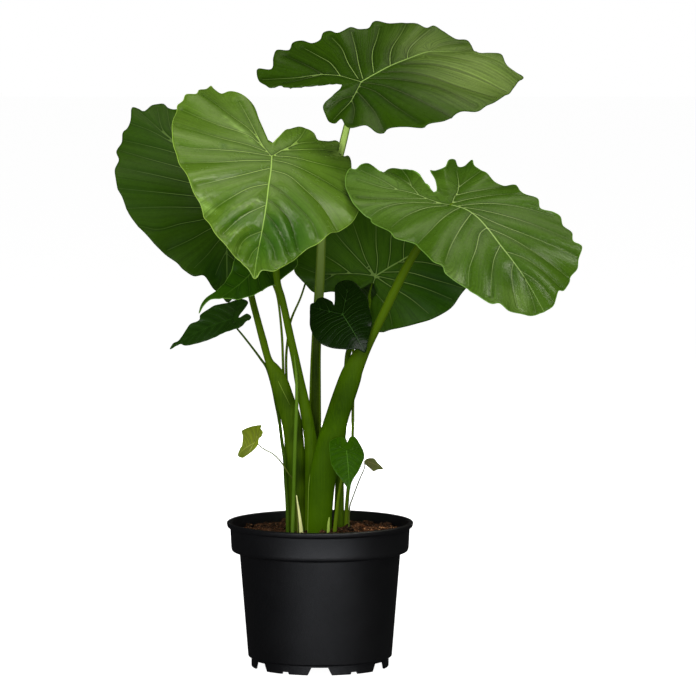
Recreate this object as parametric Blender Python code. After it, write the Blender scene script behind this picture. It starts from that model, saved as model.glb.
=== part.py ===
# A potted aroid: heart-shaped, wavy leaves on sheathed stalks, standing in a nursery pot of coir.
# Leaf outlines and stalk routes are read in millimetres on an upright sheet that faces the viewer:
# first number across from the pot's axis, second number up from the floor. Each point is then
# pushed along its line of sight to the depth, or to the slanting blade, where it belongs.

import math

import bmesh
import bpy
import numpy as np
from mathutils import Vector
from mathutils.geometry import delaunay_2d_cdt

MM = 0.001

# The viewer
EYE_DISTANCE = 8000.0
EYE_ELEVATION = math.radians(5.81)
AIM_X = 36.0
AIM_Z = 411.0

# Pot
RIM_RADIUS = 120.0
LIP_HEIGHT = 7.0
POT_HEIGHT = 187.0
COLLAR_RADIUS = 115.5
COLLAR_BOTTOM = 151.0
BODY_TOP_RADIUS = 103.5
BODY_BOTTOM_RADIUS = 92.5
FOOT_RADIUS = 88.5
FOOT_HEIGHT = 14.0
WALL = 1.8
POT_SIDES = 40
NOTCHES = 6
NOTCH_TOP = 21.0
NOTCH_BOTTOM = 32.0
NOTCH_HEIGHT = 11.5
SMALL_NOTCH_WIDTH = 11.0
SMALL_NOTCH_HEIGHT = 3.0
DRAIN_RADIUS = 5.0
DRAIN_RING = 62.0

# Soil
SOIL_TOP = 172.0
SOIL_CLEARANCE = 0.3
SOIL_RINGS = 7
SOIL_SPOKES = 36

# Blades and stalks
BLADE_THICKNESS = 1.0
SEAT_GAP = 0.55
STALK_SIDES = 8
NET_STEP = 15.0
NET_STEPS_ALONG = 9
# Share of a blade's length around its joint over which the margin's waves grow.
CALM_SHARE = 0.35

# Colours, as linear red, green and blue
DARK_LEAF = (0.055, 0.115, 0.030)
MID_LEAF = (0.075, 0.160, 0.040)
LIGHT_LEAF = (0.150, 0.260, 0.065)
DEEP_LEAF = (0.022, 0.055, 0.014)
YOUNG_LEAF = (0.060, 0.200, 0.030)
OLIVE_LEAF = (0.200, 0.230, 0.040)
STALK_GREEN = (0.120, 0.200, 0.030)
PALE_HUSK = (0.450, 0.500, 0.200)
POT_BLACK = (0.020, 0.020, 0.021)
COIR = (0.110, 0.045, 0.018)

# Each blade: where its stalk joins it, its tip, the depth of the joint, the way its upper face
# looks (turn to the right and lift, in degrees), how far midrib, lobes and sides bend in shares
# of its length, and the height and number of its margin waves. The left outline runs from the
# notch between the lobes round to the tip, the right one from the tip back.
BLADES = {
    "top": dict(
        joint=(53, 752), tip=(261, 757), depth=60, face=(20, 57), arch=0.055, lobe=0.02, side=0.02,
        wave=5.0, waves=9, colour=MID_LEAF,
        left=[
            (28, 749), (13, 750), (-10, 748), (-35, 744), (-50, 747), (-65, 744), (-76, 752),
            (-81, 762), (-79, 769), (-62, 769), (-60, 783), (-55, 793), (-40, 793), (-35, 802),
            (-23, 805), (-10, 802), (0, 806), (4, 815), (13, 818), (25, 816), (39, 823), (50, 820),
            (62, 821), (68, 829), (76, 830), (91, 827), (107, 829), (121, 828), (135, 823),
            (146, 825), (158, 817), (174, 808), (190, 805), (201, 792), (217, 790), (231, 789),
            (239, 777), (251, 767),
        ],
        right=[
            (253, 751), (242, 737), (226, 727), (213, 721), (201, 714), (176, 712), (158, 701),
            (139, 698), (132, 693), (112, 694), (89, 693), (82, 687), (73, 687), (59, 696),
            (41, 693), (33, 696), (27, 705), (20, 699), (13, 701), (7, 710), (4, 720), (7, 727),
            (18, 737),
        ],
    ),
    "front": dict(
        joint=(-62, 658), tip=(-83, 499), depth=-40, face=(27, 34), arch=0.09, lobe=0.08, side=0.18,
        wave=5.0, waves=11, colour=LIGHT_LEAF,
        left=[
            (-63, 674), (-71, 688), (-78, 704), (-84, 720), (-94, 732), (-107, 739), (-117, 740),
            (-127, 737), (-136, 743), (-140, 747), (-146, 743), (-155, 742), (-159, 737),
            (-172, 736), (-176, 728), (-183, 722), (-184, 714), (-189, 702), (-190, 692),
            (-189, 676), (-184, 658), (-174, 637), (-163, 612), (-153, 593), (-145, 575),
            (-135, 558), (-120, 540), (-107, 527), (-94, 514),
        ],
        right=[
            (-74, 511), (-61, 508), (-51, 513), (-35, 522), (-19, 536), (-2, 545), (14, 558),
            (37, 568), (47, 581), (51, 596), (50, 611), (46, 626), (41, 639), (37, 657), (30, 657),
            (25, 663), (25, 673), (20, 677), (11, 676), (-2, 678), (-7, 686), (-17, 693),
            (-27, 695), (-38, 692), (-45, 690), (-55, 680),
        ],
    ),
    "right": dict(
        joint=(170, 594), tip=(288, 457), depth=-50, face=(20, 44), arch=0.10, lobe=-0.20, side=0.12,
        wave=5.0, waves=11, colour=MID_LEAF,
        left=[
            (149, 612), (140, 619), (128, 634), (118, 640), (103, 642), (89, 641), (79, 638),
            (64, 647), (53, 647), (46, 641), (38, 641), (33, 632), (32, 622), (35, 611), (42, 597),
            (56, 582), (65, 577), (67, 571), (89, 560), (97, 551), (118, 546), (124, 544), (128, 538),
            (144, 522), (157, 516), (160, 507), (169, 499), (187, 489), (195, 482), (218, 468),
            (230, 468), (242, 458), (257, 455), (270, 452),
        ],
        right=[
            (300, 466), (306, 484), (313, 485), (320, 495), (322, 503), (330, 512), (332, 525),
            (336, 541), (325, 549), (323, 559), (312, 567), (309, 579), (300, 586), (283, 591),
            (279, 604), (259, 612), (251, 620), (236, 620), (222, 626), (214, 636), (199, 644),
            (195, 652), (185, 644), (177, 644), (173, 652), (165, 652), (160, 643), (148, 638),
            (141, 638), (148, 624),
        ],
    ),
    "left_back": dict(
        joint=(-117, 623), tip=(-118, 469), depth=100, face=(20, 20), arch=0.07, lobe=0.08, side=0.12,
        wave=5.0, waves=11, colour=DARK_LEAF,
        left=[
            (-120, 639), (-129, 665), (-144, 693), (-159, 714), (-174, 721), (-185, 717),
            (-194, 719), (-200, 724), (-207, 724), (-216, 722), (-225, 715), (-232, 718),
            (-239, 720), (-242, 717), (-243, 702), (-247, 693), (-253, 687), (-254, 675),
            (-261, 663), (-258, 652), (-263, 640), (-262, 628), (-259, 615), (-254, 605),
            (-248, 590), (-242, 578), (-229, 563), (-214, 546), (-202, 534), (-185, 521),
            (-175, 511), (-162, 503), (-150, 504), (-144, 498), (-137, 487), (-128, 480),
        ],
        right=[
            (-105, 483), (-90, 496), (-67, 521), (-43, 549), (-29, 582), (-28, 616), (-38, 648),
            (-56, 670), (-77, 683), (-92, 693), (-102, 680), (-110, 658),
        ],
    ),
    "back": dict(
        joint=(71, 503), tip=(203, 597), depth=90, face=(10, 22), arch=0.06, lobe=0.06, side=0.08,
        wave=4.0, waves=9, colour=DEEP_LEAF,
        left=[
            (67, 494), (51, 485), (32, 480), (16, 483), (6, 482), (-7, 482), (-19, 493),
            (-25, 499), (-33, 510), (-31, 526), (-18, 549), (5, 573), (32, 593), (67, 607),
            (105, 616), (144, 619), (177, 610),
        ],
        right=[
            (210, 573), (213, 542), (203, 508), (182, 481), (168, 462), (146, 449), (121, 441),
            (94, 435), (78, 431), (66, 434), (60, 446), (60, 462), (66, 473), (74, 485),
        ],
    ),
    "left_middle": dict(
        joint=(-70, 525), tip=(-155, 454), depth=22, face=(-15, 32), arch=0.08, lobe=0.05, side=0.08,
        wave=2.5, waves=8, colour=MID_LEAF,
        left=[
            (-64, 534), (-74, 541), (-87, 546), (-99, 542), (-108, 532), (-111, 521), (-115, 507),
            (-126, 491), (-133, 484), (-146, 475), (-153, 465),
        ],
        right=[
            (-149, 465), (-140, 473), (-128, 475), (-108, 473), (-92, 477), (-82, 480), (-60, 492),
            (-49, 499), (-35, 510), (-28, 521), (-36, 534), (-50, 539),
        ],
    ),
    "left_low": dict(
        joint=(-113, 448), tip=(-192, 409), depth=-25, face=(-15, 30), arch=0.10, lobe=0.04, side=0.08,
        wave=1.6, waves=8, colour=DARK_LEAF,
        left=[
            (-104, 450), (-96, 462), (-92, 469), (-96, 473), (-107, 473), (-124, 468), (-140, 463),
            (-153, 454), (-155, 447), (-167, 441), (-175, 429), (-181, 421), (-188, 417),
        ],
        right=[
            (-180, 416), (-171, 414), (-153, 418), (-132, 426), (-110, 435), (-103, 437),
            (-95, 445), (-90, 447), (-88, 451), (-94, 455),
        ],
    ),
    "centre": dict(
        joint=(29, 454), tip=(58, 405), depth=-8, face=(0, 20), arch=0.08, lobe=0.06, side=0.08,
        wave=1.5, waves=7, colour=DEEP_LEAF,
        left=[
            (18, 466), (15, 471), (4, 476), (-1, 476), (-6, 470), (-12, 467), (-13, 459),
            (-13, 451), (-13, 440), (-10, 430), (-6, 424), (2, 416), (11, 412), (20, 410),
            (33, 409), (48, 409),
        ],
        right=[
            (62, 421), (66, 438), (67, 448), (63, 464), (62, 473), (55, 484), (48, 492), (41, 497),
            (33, 498), (26, 496), (20, 491), (19, 483), (19, 473),
        ],
    ),
    "low_right": dict(
        joint=(34, 279), tip=(38, 228), depth=-52, face=(5, 30), arch=0.10, lobe=0.10, side=0.12,
        wave=1.2, waves=6, colour=YOUNG_LEAF,
        left=[
            (35, 290), (33, 295), (22, 296), (14, 292), (12, 286), (14, 266), (16, 259), (22, 249),
            (24, 247), (32, 236),
        ],
        right=[
            (40, 236), (43, 243), (49, 252), (54, 263), (57, 271), (55, 281), (49, 292), (43, 298),
            (38, 296),
        ],
    ),
    "small_left": dict(
        joint=(-84, 289), tip=(-105, 273), depth=-22, face=(-30, 30), arch=0.10, lobe=0.05, side=0.15,
        wave=0.8, waves=5, colour=OLIVE_LEAF,
        left=[
            (-79, 287), (-78, 294), (-74, 299), (-73, 304), (-76, 308), (-75, 312), (-85, 311),
            (-92, 309), (-100, 305), (-100, 302), (-99, 296), (-100, 287), (-103, 281),
        ],
        right=[(-100, 270), (-94, 273), (-84, 281)],
    ),
    "tiny_right": dict(
        joint=(61, 265), tip=(81, 256), depth=-20, face=(20, 35), arch=0.08, lobe=0.02, side=0.10,
        wave=0.4, waves=4, colour=OLIVE_LEAF,
        left=[(57, 266), (60, 269), (65, 270), (70, 269), (74, 264)],
        right=[(74, 255), (69, 253), (64, 257), (58, 262)],
    ),
    "hidden": dict(
        joint=(5, 519), tip=(100, 478), depth=135, face=(0, 24), arch=0.10, lobe=0.03, side=0.08,
        wave=2.0, waves=8, colour=DARK_LEAF,
        left=[
            (-3, 518), (-13, 530), (-10, 542), (8, 549), (33, 548), (62, 534), (85, 508),
        ],
        right=[(77, 470), (46, 473), (21, 483), (4, 496), (-2, 508)],
    ),
}

# Each stalk: points as across, up, depth, half width and half thickness, from the soil upward.
STALKS = {
    "top": [
        (-5, 150, 20, 7.5, 6.0), (-5, 200, 20, 7.7, 6.0), (-6, 290, 20, 8.0, 6.0),
        (-6, 360, 19, 7.4, 5.8), (-4.6, 420, 20, 6.3, 5.6), (0, 500, 22, 6.2, 5.4),
        (3, 560, 28, 5.6, 5.2), (12, 610, 48, 5.2, 5.0), (26, 660, 84, 5.0, 4.8),
        (36, 700, 89, 4.6, 4.4), (45, 730, 77, 4.2, 4.0),
    ],
    "front": [
        (-8, 150, 0, 11.6, 5.4), (-8, 200, 0, 11.6, 5.4), (-8, 242, 0, 11.4, 5.4),
        (-9, 267, 0, 10.4, 5.4), (-12, 293, 0, 8.4, 5.4), (-16, 319, 0, 7.6, 5.4),
        (-21, 344, 1, 7.0, 5.2), (-26.5, 370, 2, 6.3, 5.0), (-31.5, 396, 2, 5.4, 4.8),
        (-37, 421, 0, 5.0, 4.6), (-48, 472, -8, 4.4, 4.4), (-55, 499, -14, 4.4, 4.4),
        (-60, 560, -16, 4.6, 4.4), (-62, 610, -16, 4.4, 4.2),
    ],
    "right": [
        (-1, 150, -16, 15.6, 7.0), (0, 200, -16, 16.0, 7.0), (3, 242, -17, 17.3, 7.0),
        (9, 267, -17, 18.6, 7.0), (15, 293, -15, 17.7, 7.0), (21, 319, -11, 15.0, 6.8),
        (29, 344, -7, 14.7, 6.6), (38, 370, -4, 14.1, 6.4), (43, 384, -3, 12.6, 6.2),
        (51, 400, -3, 10.4, 6.0), (60, 415, -4, 7.6, 6.0), (71, 434, -6, 5.8, 5.8),
        (84, 460, -8, 5.8, 5.6), (96, 485, -10, 5.8, 5.4), (118, 527, -10, 5.4, 5.2),
        (150, 576, -18, 4.6, 4.6),
    ],
    "left_back": [
        (-31, 150, 8, 12.2, 5.6), (-31, 216, 8, 12.4, 5.6), (-31, 242, 8, 12.2, 5.6),
        (-31, 267, 8, 12.2, 5.6), (-34, 293, 8, 11.4, 5.6), (-37, 319, 8, 12.4, 5.6),
        (-45, 344, 8, 12.5, 5.6), (-53, 370, 8, 11.2, 5.4), (-59, 383, 9, 8.4, 5.2),
        (-66, 396, 11, 5.0, 4.8), (-73, 421, 20, 4.8, 4.6), (-80, 447, 34, 4.4, 4.4),
        (-88, 478, 60, 4.3, 4.3), (-104, 545, 98, 4.2, 4.2), (-113, 590, 114, 4.0, 4.0),
    ],
    "back": [
        (24, 150, 12, 6.4, 4.2), (24.5, 200, 12, 6.4, 4.2), (27, 290, 12, 4.4, 4.0),
        (34, 380, 14, 3.8, 3.8), (37, 407, 18, 3.7, 3.7), (47, 430, 30, 3.7, 3.7),
        (57, 450, 44, 3.6, 3.6), (62.5, 468, 56, 3.0, 3.0), (64, 482, 67, 1.2, 1.2),
    ],
    "left_middle": [
        (-41, 150, 24, 1.8, 1.8), (-41, 200, 24, 1.8, 1.8), (-44, 290, 23, 1.7, 1.7),
        (-47, 382, 22, 1.7, 1.7), (-49, 430, 24, 1.6, 1.6), (-54, 474, 26, 1.4, 1.4),
        (-61, 495, 28, 1.3, 1.3), (-66, 512, 29, 1.3, 1.3),
    ],
    "left_low": [
        (-41.5, 150, -3, 2.5, 2.5), (-41.5, 203, -3, 2.5, 2.5), (-44, 242, -2, 2.4, 2.4),
        (-45.3, 267, -1, 2.3, 2.3), (-49, 293, 6, 2.2, 2.2), (-52.2, 319, 13, 2.1, 2.1),
        (-56, 338, 17, 2.0, 2.0), (-61, 362, 18, 1.8, 1.8),
        (-68, 385, 18, 1.7, 1.7), (-76, 397, 11, 1.6, 1.6), (-84, 408, 3, 1.4, 1.4),
        (-98, 426, -10, 1.3, 1.3), (-107, 437, -15, 1.1, 1.1),
    ],
    "centre": [
        (34, 150, 4, 2.7, 2.4), (34, 200, 4, 2.6, 2.4), (38, 250, 4, 2.2, 2.2),
        (41.6, 290, 4, 2.0, 2.0), (42.4, 340, 9, 1.8, 1.8), (43.5, 392, 12, 1.7, 1.7),
        (39, 430, 6, 1.6, 1.6),
    ],
    "low_right": [
        (20, 150, -29, 1.8, 1.8), (21, 180, -30, 1.8, 1.8), (25, 220, -34, 1.6, 1.6),
        (30, 255, -40, 1.5, 1.5),
    ],
    "small_left": [
        (-28, 150, -8, 1.2, 1.2), (-29, 200, -9, 1.1, 1.1), (-34, 239, -7, 1.0, 1.0),
        (-41, 251, -12, 0.9, 0.9), (-50, 265, -15, 0.9, 0.9), (-60, 275, -17, 0.8, 0.8),
        (-72, 281.5, -18, 0.8, 0.8),
    ],
    "tiny_right": [
        (36, 150, -12, 1.1, 1.1), (37, 180, -13, 1.0, 1.0), (38, 206, -14, 0.9, 0.9),
        (42, 219, -15, 0.8, 0.8), (51, 243, -17, 0.8, 0.8), (57, 257, -19, 0.7, 0.7),
    ],
    "hidden": [
        (-35, 150, 26, 1.8, 1.8), (-35, 200, 26, 1.8, 1.8), (-38, 290, 28, 1.7, 1.7),
        (-43.2, 382, 30, 1.7, 1.7), (-41.5, 420, 40, 1.6, 1.6), (-37, 447, 60, 1.5, 1.5),
        (-25, 475, 90, 1.3, 1.3), (-15, 503, 122, 1.2, 1.2),
    ],
}
SHOOTS = {
    "spear": [
        (-36, 150, -12, 2.4, 2.4), (-34, 210, -12, 2.4, 2.4), (-32, 285, -11, 2.4, 2.4),
        (-30, 330, -10, 2.3, 2.3), (-30, 372, -9, 2.0, 2.0), (-33, 402, -8, 0.5, 0.5),
    ],
    "husk_left": [
        (-22.5, 160, -13, 3.2, 1.4), (-25.5, 190, -13, 2.0, 1.2), (-30, 222, -13.5, 0.6, 0.5),
    ],
    "husk_right": [
        (11, 160, -29, 2.2, 1.2), (11, 182, -29, 1.9, 1.1), (12, 194, -28.5, 0.5, 0.5),
    ],
}
# Stalks whose top meets the notch of the blade instead of its underside.
NOTCH_STALKS = {"back", "hidden", "tiny_right", "small_left"}


def material(name, colour, roughness):
    mat = bpy.data.materials.new(name)
    mat.use_nodes = True
    shader = mat.node_tree.nodes["Principled BSDF"]
    shader.inputs["Base Color"].default_value = (*colour, 1.0)
    shader.inputs["Roughness"].default_value = roughness
    shader.inputs["Metallic"].default_value = 0.0
    mat.diffuse_color = (*colour, 1.0)
    return mat


def add_object(name, points, faces, mat):
    """A mesh object from points in millimetres."""
    mesh = bpy.data.meshes.new(name)
    mesh.from_pydata([tuple(c * MM for c in p) for p in points], [], faces)
    mesh.update()
    obj = bpy.data.objects.new(name, mesh)
    bpy.context.collection.objects.link(obj)
    obj.data.materials.append(mat)
    return obj


# Lines of sight
EYE = np.array([
    AIM_X,
    -EYE_DISTANCE * math.cos(EYE_ELEVATION),
    AIM_Z + EYE_DISTANCE * math.sin(EYE_ELEVATION),
])
SIGHT = np.array([0.0, math.cos(EYE_ELEVATION), -math.sin(EYE_ELEVATION)])
SIGHT_UP = np.array([0.0, math.sin(EYE_ELEVATION), math.cos(EYE_ELEVATION)])


def sight_lines(sheet_points):
    """Directions from the eye through points of the sheet."""
    p = np.atleast_2d(np.asarray(sheet_points, float))
    across = np.array([1.0, 0.0, 0.0]) * (p[:, :1] - AIM_X)
    return SIGHT * EYE_DISTANCE + across + SIGHT_UP * (p[:, 1:2] - AIM_Z)


def at_depth(x, up, depth):
    line = sight_lines([(x, up)])[0]
    return EYE + line * (depth - EYE[1]) / line[1]


def smooth_closed(points, step):
    """A closed curve through the points, cut into pieces of about one step."""
    p = np.asarray(points, float)
    out = []
    for i in range(len(p)):
        a, b, c, d = p[i - 1], p[i], p[(i + 1) % len(p)], p[(i + 2) % len(p)]
        cuts = max(1, round(float(np.linalg.norm(c - b)) / step))
        for k in range(cuts):
            t = k / cuts
            out.append(0.5 * (2 * b + (c - a) * t + (2 * a - 5 * b + 4 * c - d) * t * t
                              + (3 * b - a - 3 * c + d) * t ** 3))
    return np.array(out)


def smooth_open(points, cuts):
    p = np.asarray(points, float)
    p = np.vstack([2 * p[0] - p[1], p, 2 * p[-1] - p[-2]])
    out = []
    for i in range(1, len(p) - 2):
        a, b, c, d = p[i - 1:i + 3]
        for k in range(cuts):
            t = k / cuts
            out.append(0.5 * (2 * b + (c - a) * t + (2 * a - 5 * b + 4 * c - d) * t * t
                              + (3 * b - a - 3 * c + d) * t ** 3))
    out.append(p[-2])
    return np.array(out)


def thin(points, least):
    """Drops points that lie closer than the least distance to the one kept before."""
    kept = [points[0]]
    for p in points[1:]:
        if np.linalg.norm(p - kept[-1]) >= least:
            kept.append(p)
    if np.linalg.norm(kept[-1] - kept[0]) < least:
        kept.pop()
    return np.array(kept)


def inside(points, polygon):
    x, y = points[:, 0], points[:, 1]
    result = np.zeros(len(points), bool)
    for a, b in zip(polygon, np.roll(polygon, -1, axis=0)):
        crosses = (a[1] > y) != (b[1] > y)
        slope = (b[0] - a[0]) / (b[1] - a[1]) if b[1] != a[1] else 0.0
        result ^= crosses & (x < a[0] + slope * (y - a[1]))
    return result


def distance_to(points, line):
    """Distance of each point to a polyline."""
    best = np.full(len(points), 1e9)
    for a, b in zip(line[:-1], line[1:]):
        ab = b - a
        t = np.clip(((points - a) @ ab) / max(ab @ ab, 1e-9), 0, 1)
        best = np.minimum(best, np.linalg.norm(points - a - t[:, None] * ab, axis=1))
    return best


class Blade:
    """A leaf blade on its own slanting plane, with a along the midrib and b across it."""

    def __init__(self, spec):
        self.spec = spec
        turn, lift = (math.radians(v) for v in spec["face"])
        self.normal = np.array([
            math.sin(turn) * math.cos(lift), -math.cos(turn) * math.cos(lift), math.sin(lift),
        ])
        self.joint = at_depth(*spec["joint"], spec["depth"])
        line = sight_lines([spec["tip"]])[0]
        tip = EYE + line * ((self.joint - EYE) @ self.normal) / (line @ self.normal)
        self.length = float(np.linalg.norm(tip - self.joint))
        self.along = (tip - self.joint) / self.length
        self.across = np.cross(self.normal, self.along)
        self.left = self.to_plane(spec["left"], margin=True)
        self.right = self.to_plane(spec["right"], margin=True)
        self.tip = np.array([self.length, 0.0])
        self.notch = self.left[0]
        self.outline = np.vstack([self.left, self.tip, self.right])
        self.polar = self.margin_radius()
        self.veins = self.vein_lines()

    def bend(self, ab):
        """Height of the smooth blade over its plane: arched midrib, falling lobes and sides."""
        spec, size = self.spec, self.length
        a, b = ab[:, 0] / size, ab[:, 1] / size
        rise = 4 * spec["arch"] * a * (1 - a)
        back = 4 * spec["arch"] * a - spec["lobe"] * a * a
        return size * (np.where(a > 0, rise, back) - spec["side"] * b * b)

    def margin_lift(self, ab):
        """Height of the wavy, quilted margin over the smooth blade; it is calm near the notch."""
        spec = self.spec
        angle = np.arctan2(ab[:, 1], ab[:, 0])
        calm = np.clip(np.linalg.norm(ab, axis=1) / (CALM_SHARE * self.length), 0, 1)
        wave = spec["wave"] * calm * np.sin(spec["waves"] * angle + 1.3 * np.sin(2 * angle))
        return wave + 0.010 * self.length

    def to_plane(self, sheet_points, margin=False):
        """Follows lines of sight to the bent blade and returns where they meet it."""
        lines = sight_lines(sheet_points)
        height = np.zeros(len(lines))
        for _ in range(60):
            t = ((self.joint - EYE) @ self.normal + height) / (lines @ self.normal)
            p = EYE + lines * t[:, None] - self.joint
            ab = np.stack([p @ self.along, p @ self.across], axis=1)
            goal = self.bend(ab)
            if margin:
                goal = goal + self.margin_lift(ab)
            height = 0.6 * height + 0.4 * goal
        return ab

    def margin_radius(self):
        angle = np.arctan2(self.outline[:, 1], self.outline[:, 0])
        order = np.argsort(angle)
        return angle[order], np.linalg.norm(self.outline, axis=1)[order]

    def side_point(self, side, share):
        """A point on one side's margin, by its share of the way from notch to tip."""
        if side > 0:
            line = np.vstack([self.left, self.tip])
        else:
            line = np.vstack([self.right[::-1], self.tip])
        steps = np.linalg.norm(np.diff(line, axis=0), axis=1)
        way = np.concatenate([[0], np.cumsum(steps)])
        want = share * way[-1]
        return np.array([np.interp(want, way, line[:, 0]), np.interp(want, way, line[:, 1])])

    def vein_lines(self):
        """Midrib, a basal vein into each lobe, and side veins that sweep towards the tip."""
        joint = np.zeros(2)
        veins = [np.array([joint, self.tip * 0.5, self.tip * 0.97])]
        for side in (1, -1):
            lobe = self.side_point(side, 0.27)
            basal = smooth_open([joint, lobe * 0.5 + [0, 0.02 * lobe[1]], lobe * 0.93], 3)
            veins.append(basal)
            for start, share in ((0.35, 0.42), (0.62, 0.35), (0.40, 0.13), (0.68, 0.19)):
                foot = lobe * start
                end = foot + (self.side_point(side, share) - foot) * 0.94
                veins.append(np.array([foot, (foot + end) / 2, end]))
            for start, share in ((0.02, 0.50), (0.16, 0.60), (0.32, 0.69), (0.48, 0.77),
                                 (0.63, 0.85), (0.78, 0.92)):
                foot = self.tip * start
                end = foot + (self.side_point(side, share) - foot) * 0.94
                middle = foot * 0.52 + end * 0.48 - self.along_sweep(foot, end)
                veins.append(smooth_open([foot, middle, end], 3))
        return veins

    @staticmethod
    def along_sweep(foot, end):
        return np.array([0.08 * float(np.linalg.norm(end - foot)), 0.0])

    def relief(self, ab):
        """Margin waves and the quilting between the veins."""
        spec = self.spec
        angle = np.arctan2(ab[:, 1], ab[:, 0])
        radius = np.interp(angle, *self.polar, period=2 * math.pi)
        reach = np.clip(np.linalg.norm(ab, axis=1) / radius, 0, 1)
        calm = np.clip(radius / (CALM_SHARE * self.length), 0, 1)
        wave = spec["wave"] * reach ** 3 * calm
        wave = wave * np.sin(spec["waves"] * angle + 1.3 * np.sin(2 * angle))
        nearest = np.full(len(ab), 1e9)
        for vein in self.veins:
            nearest = np.minimum(nearest, distance_to(ab, vein))
        pillow = 0.016 * self.length * (1 - np.exp(-nearest / (0.05 * self.length)))
        return wave + pillow

    def to_space(self, ab):
        height = self.bend(ab) + self.relief(ab)
        return (self.joint + ab[:, :1] * self.along + ab[:, 1:] * self.across
                + height[:, None] * self.normal)

    def net(self, step):
        """Points and triangles of the blade on its plane; the veins run along edges."""
        edge = thin(smooth_closed(self.outline, step), 0.55 * step)
        points = [edge]
        count = len(edge)
        lines = [(i, (i + 1) % count) for i in range(count)]
        taken = [np.vstack([edge, edge[:1]])]
        for vein in self.veins:
            way = np.linalg.norm(np.diff(vein, axis=0), axis=1).sum()
            cuts = max(2, round(way / step / (len(vein) - 1)) * (len(vein) - 1))
            share = np.linspace(0, len(vein) - 1, cuts + 1)
            dense = np.stack([np.interp(share, range(len(vein)), vein[:, k]) for k in (0, 1)], 1)
            dense = dense[inside(dense, edge)]
            dense = dense[distance_to(dense, taken[0]) > 0.4 * step]
            if len(dense) < 2:
                continue
            points.append(dense)
            lines += [(count + i, count + i + 1) for i in range(len(dense) - 1)]
            count += len(dense)
            taken.append(dense)
        low, high = edge.min(axis=0), edge.max(axis=0)
        rows = np.arange(low[1], high[1], step * 0.87)
        grid = np.array([
            (x + (step / 2 if row % 2 else 0), y)
            for row, y in enumerate(rows) for x in np.arange(low[0], high[0], step)
        ])
        grid = grid[inside(grid, edge)]
        for line in taken:
            grid = grid[distance_to(grid, line) > 0.55 * step]
        points.append(grid)
        flat = [Vector(p) for p in np.vstack(points)]
        verts, _, faces, _, _, _ = delaunay_2d_cdt(flat, lines, [], 1, 1e-4)
        return np.array([tuple(v) for v in verts]), [tuple(f) for f in faces]


def closed_sheet(top, bottom, faces):
    """Joins two alike nets along their free edges into one closed body."""
    count = len(top)
    used = {}
    for face in faces:
        for a, b in zip(face, face[1:] + face[:1]):
            used[(a, b)] = True
    sides = [
        (b, a, a + count, b + count) for a, b in used if (b, a) not in used
    ]
    below = [tuple(i + count for i in reversed(face)) for face in faces]
    rims = []
    for quad in sides:
        rims.append((quad[0], quad[1], quad[2]))
        rims.append((quad[0], quad[2], quad[3]))
    return np.vstack([top, bottom]), list(faces) + below + rims


def vertex_normals(points, faces):
    normals = np.zeros_like(points)
    for face in faces:
        a, b, c = (points[i] for i in face[:3])
        turned = np.cross(b - a, c - a)
        for i in face:
            normals[i] += turned
    return normals / np.linalg.norm(normals, axis=1, keepdims=True)


def build_blade(name, spec):
    blade = Blade(spec)
    flat, faces = blade.net(min(NET_STEP, blade.length / NET_STEPS_ALONG))
    middle = blade.to_space(flat)
    normals = vertex_normals(middle, faces)
    if (normals @ blade.normal).mean() < 0:
        faces = [tuple(reversed(face)) for face in faces]
        normals = -normals
    half = BLADE_THICKNESS / 2 * normals
    points, faces = closed_sheet(middle + half, middle - half, faces)
    mat = material("leaf_" + name, spec["colour"], 0.42)
    add_object("blade_" + name, points, faces, mat)
    return blade


def tube(stations, widths, depths, end_normal=None, sides=STALK_SIDES):
    """Oval rings along a route, closed at both ends; the last ring may lie in a given plane."""
    count = len(stations)
    points, faces = [], []
    for i, centre in enumerate(stations):
        ahead = stations[min(i + 1, count - 1)] - stations[max(i - 1, 0)]
        ahead = ahead / np.linalg.norm(ahead)
        if i == count - 1 and end_normal is not None:
            ahead = end_normal
        side = np.cross(np.array([0.0, 1.0, 0.0]), ahead)
        if np.linalg.norm(side) < 0.2:
            side = np.array([1.0, 0.0, 0.0])
        side = side - (side @ ahead) * ahead
        side /= np.linalg.norm(side)
        deep = np.cross(ahead, side)
        for k in range(sides):
            turn = 2 * math.pi * k / sides
            points.append(centre + side * widths[i] * math.cos(turn) + deep * depths[i] * math.sin(turn))
    for i in range(count - 1):
        for k in range(sides):
            a, b = i * sides + k, i * sides + (k + 1) % sides
            faces.append((a, b, b + sides, a + sides))
    faces.append(tuple(reversed(range(sides))))
    faces.append(tuple(range((count - 1) * sides, count * sides)))
    return points, faces


def route(rows):
    """Stations in space with half widths and half thicknesses, from rows read on the sheet."""
    rows = smooth_open(rows, 2)
    return np.array([at_depth(*row[:3]) for row in rows]), rows[:, 3], rows[:, 4]


def stalk_route(name, blade):
    """The rows of one stalk, with a last station seated on its blade."""
    stations, wide, thick = route(STALKS[name])
    top = 0.8 * min(wide[-1], thick[-1])
    if name in NOTCH_STALKS:
        away = blade.notch / np.linalg.norm(blade.notch)
        top = min(top, 1.2)
        seat = blade.to_space((blade.notch + away * (SEAT_GAP + 0.75 * top))[None])[0]
        normal = -(away[0] * blade.along + away[1] * blade.across)
    else:
        crown = blade.to_space(np.zeros((1, 2)))[0]
        normal = blade.normal - 4 * blade.spec["arch"] * blade.along
        normal /= np.linalg.norm(normal)
        seat = crown - normal * (BLADE_THICKNESS / 2 + SEAT_GAP)
    stations = np.vstack([stations, seat])
    return stations, np.append(wide, top), np.append(thick, top), normal


def build_stalk(name, blade, mat):
    stations, wide, thick, normal = stalk_route(name, blade)
    points, faces = tube(stations, wide, thick, normal)
    return add_object("stalk_" + name, points, faces, mat)


def build_shoot(name, mat):
    stations, wide, thick = route(SHOOTS[name])
    points, faces = tube(stations, wide, thick)
    return add_object(name, points, faces, mat)


def hide_cutter(obj):
    obj.hide_render = True
    obj.display_type = "WIRE"


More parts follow.
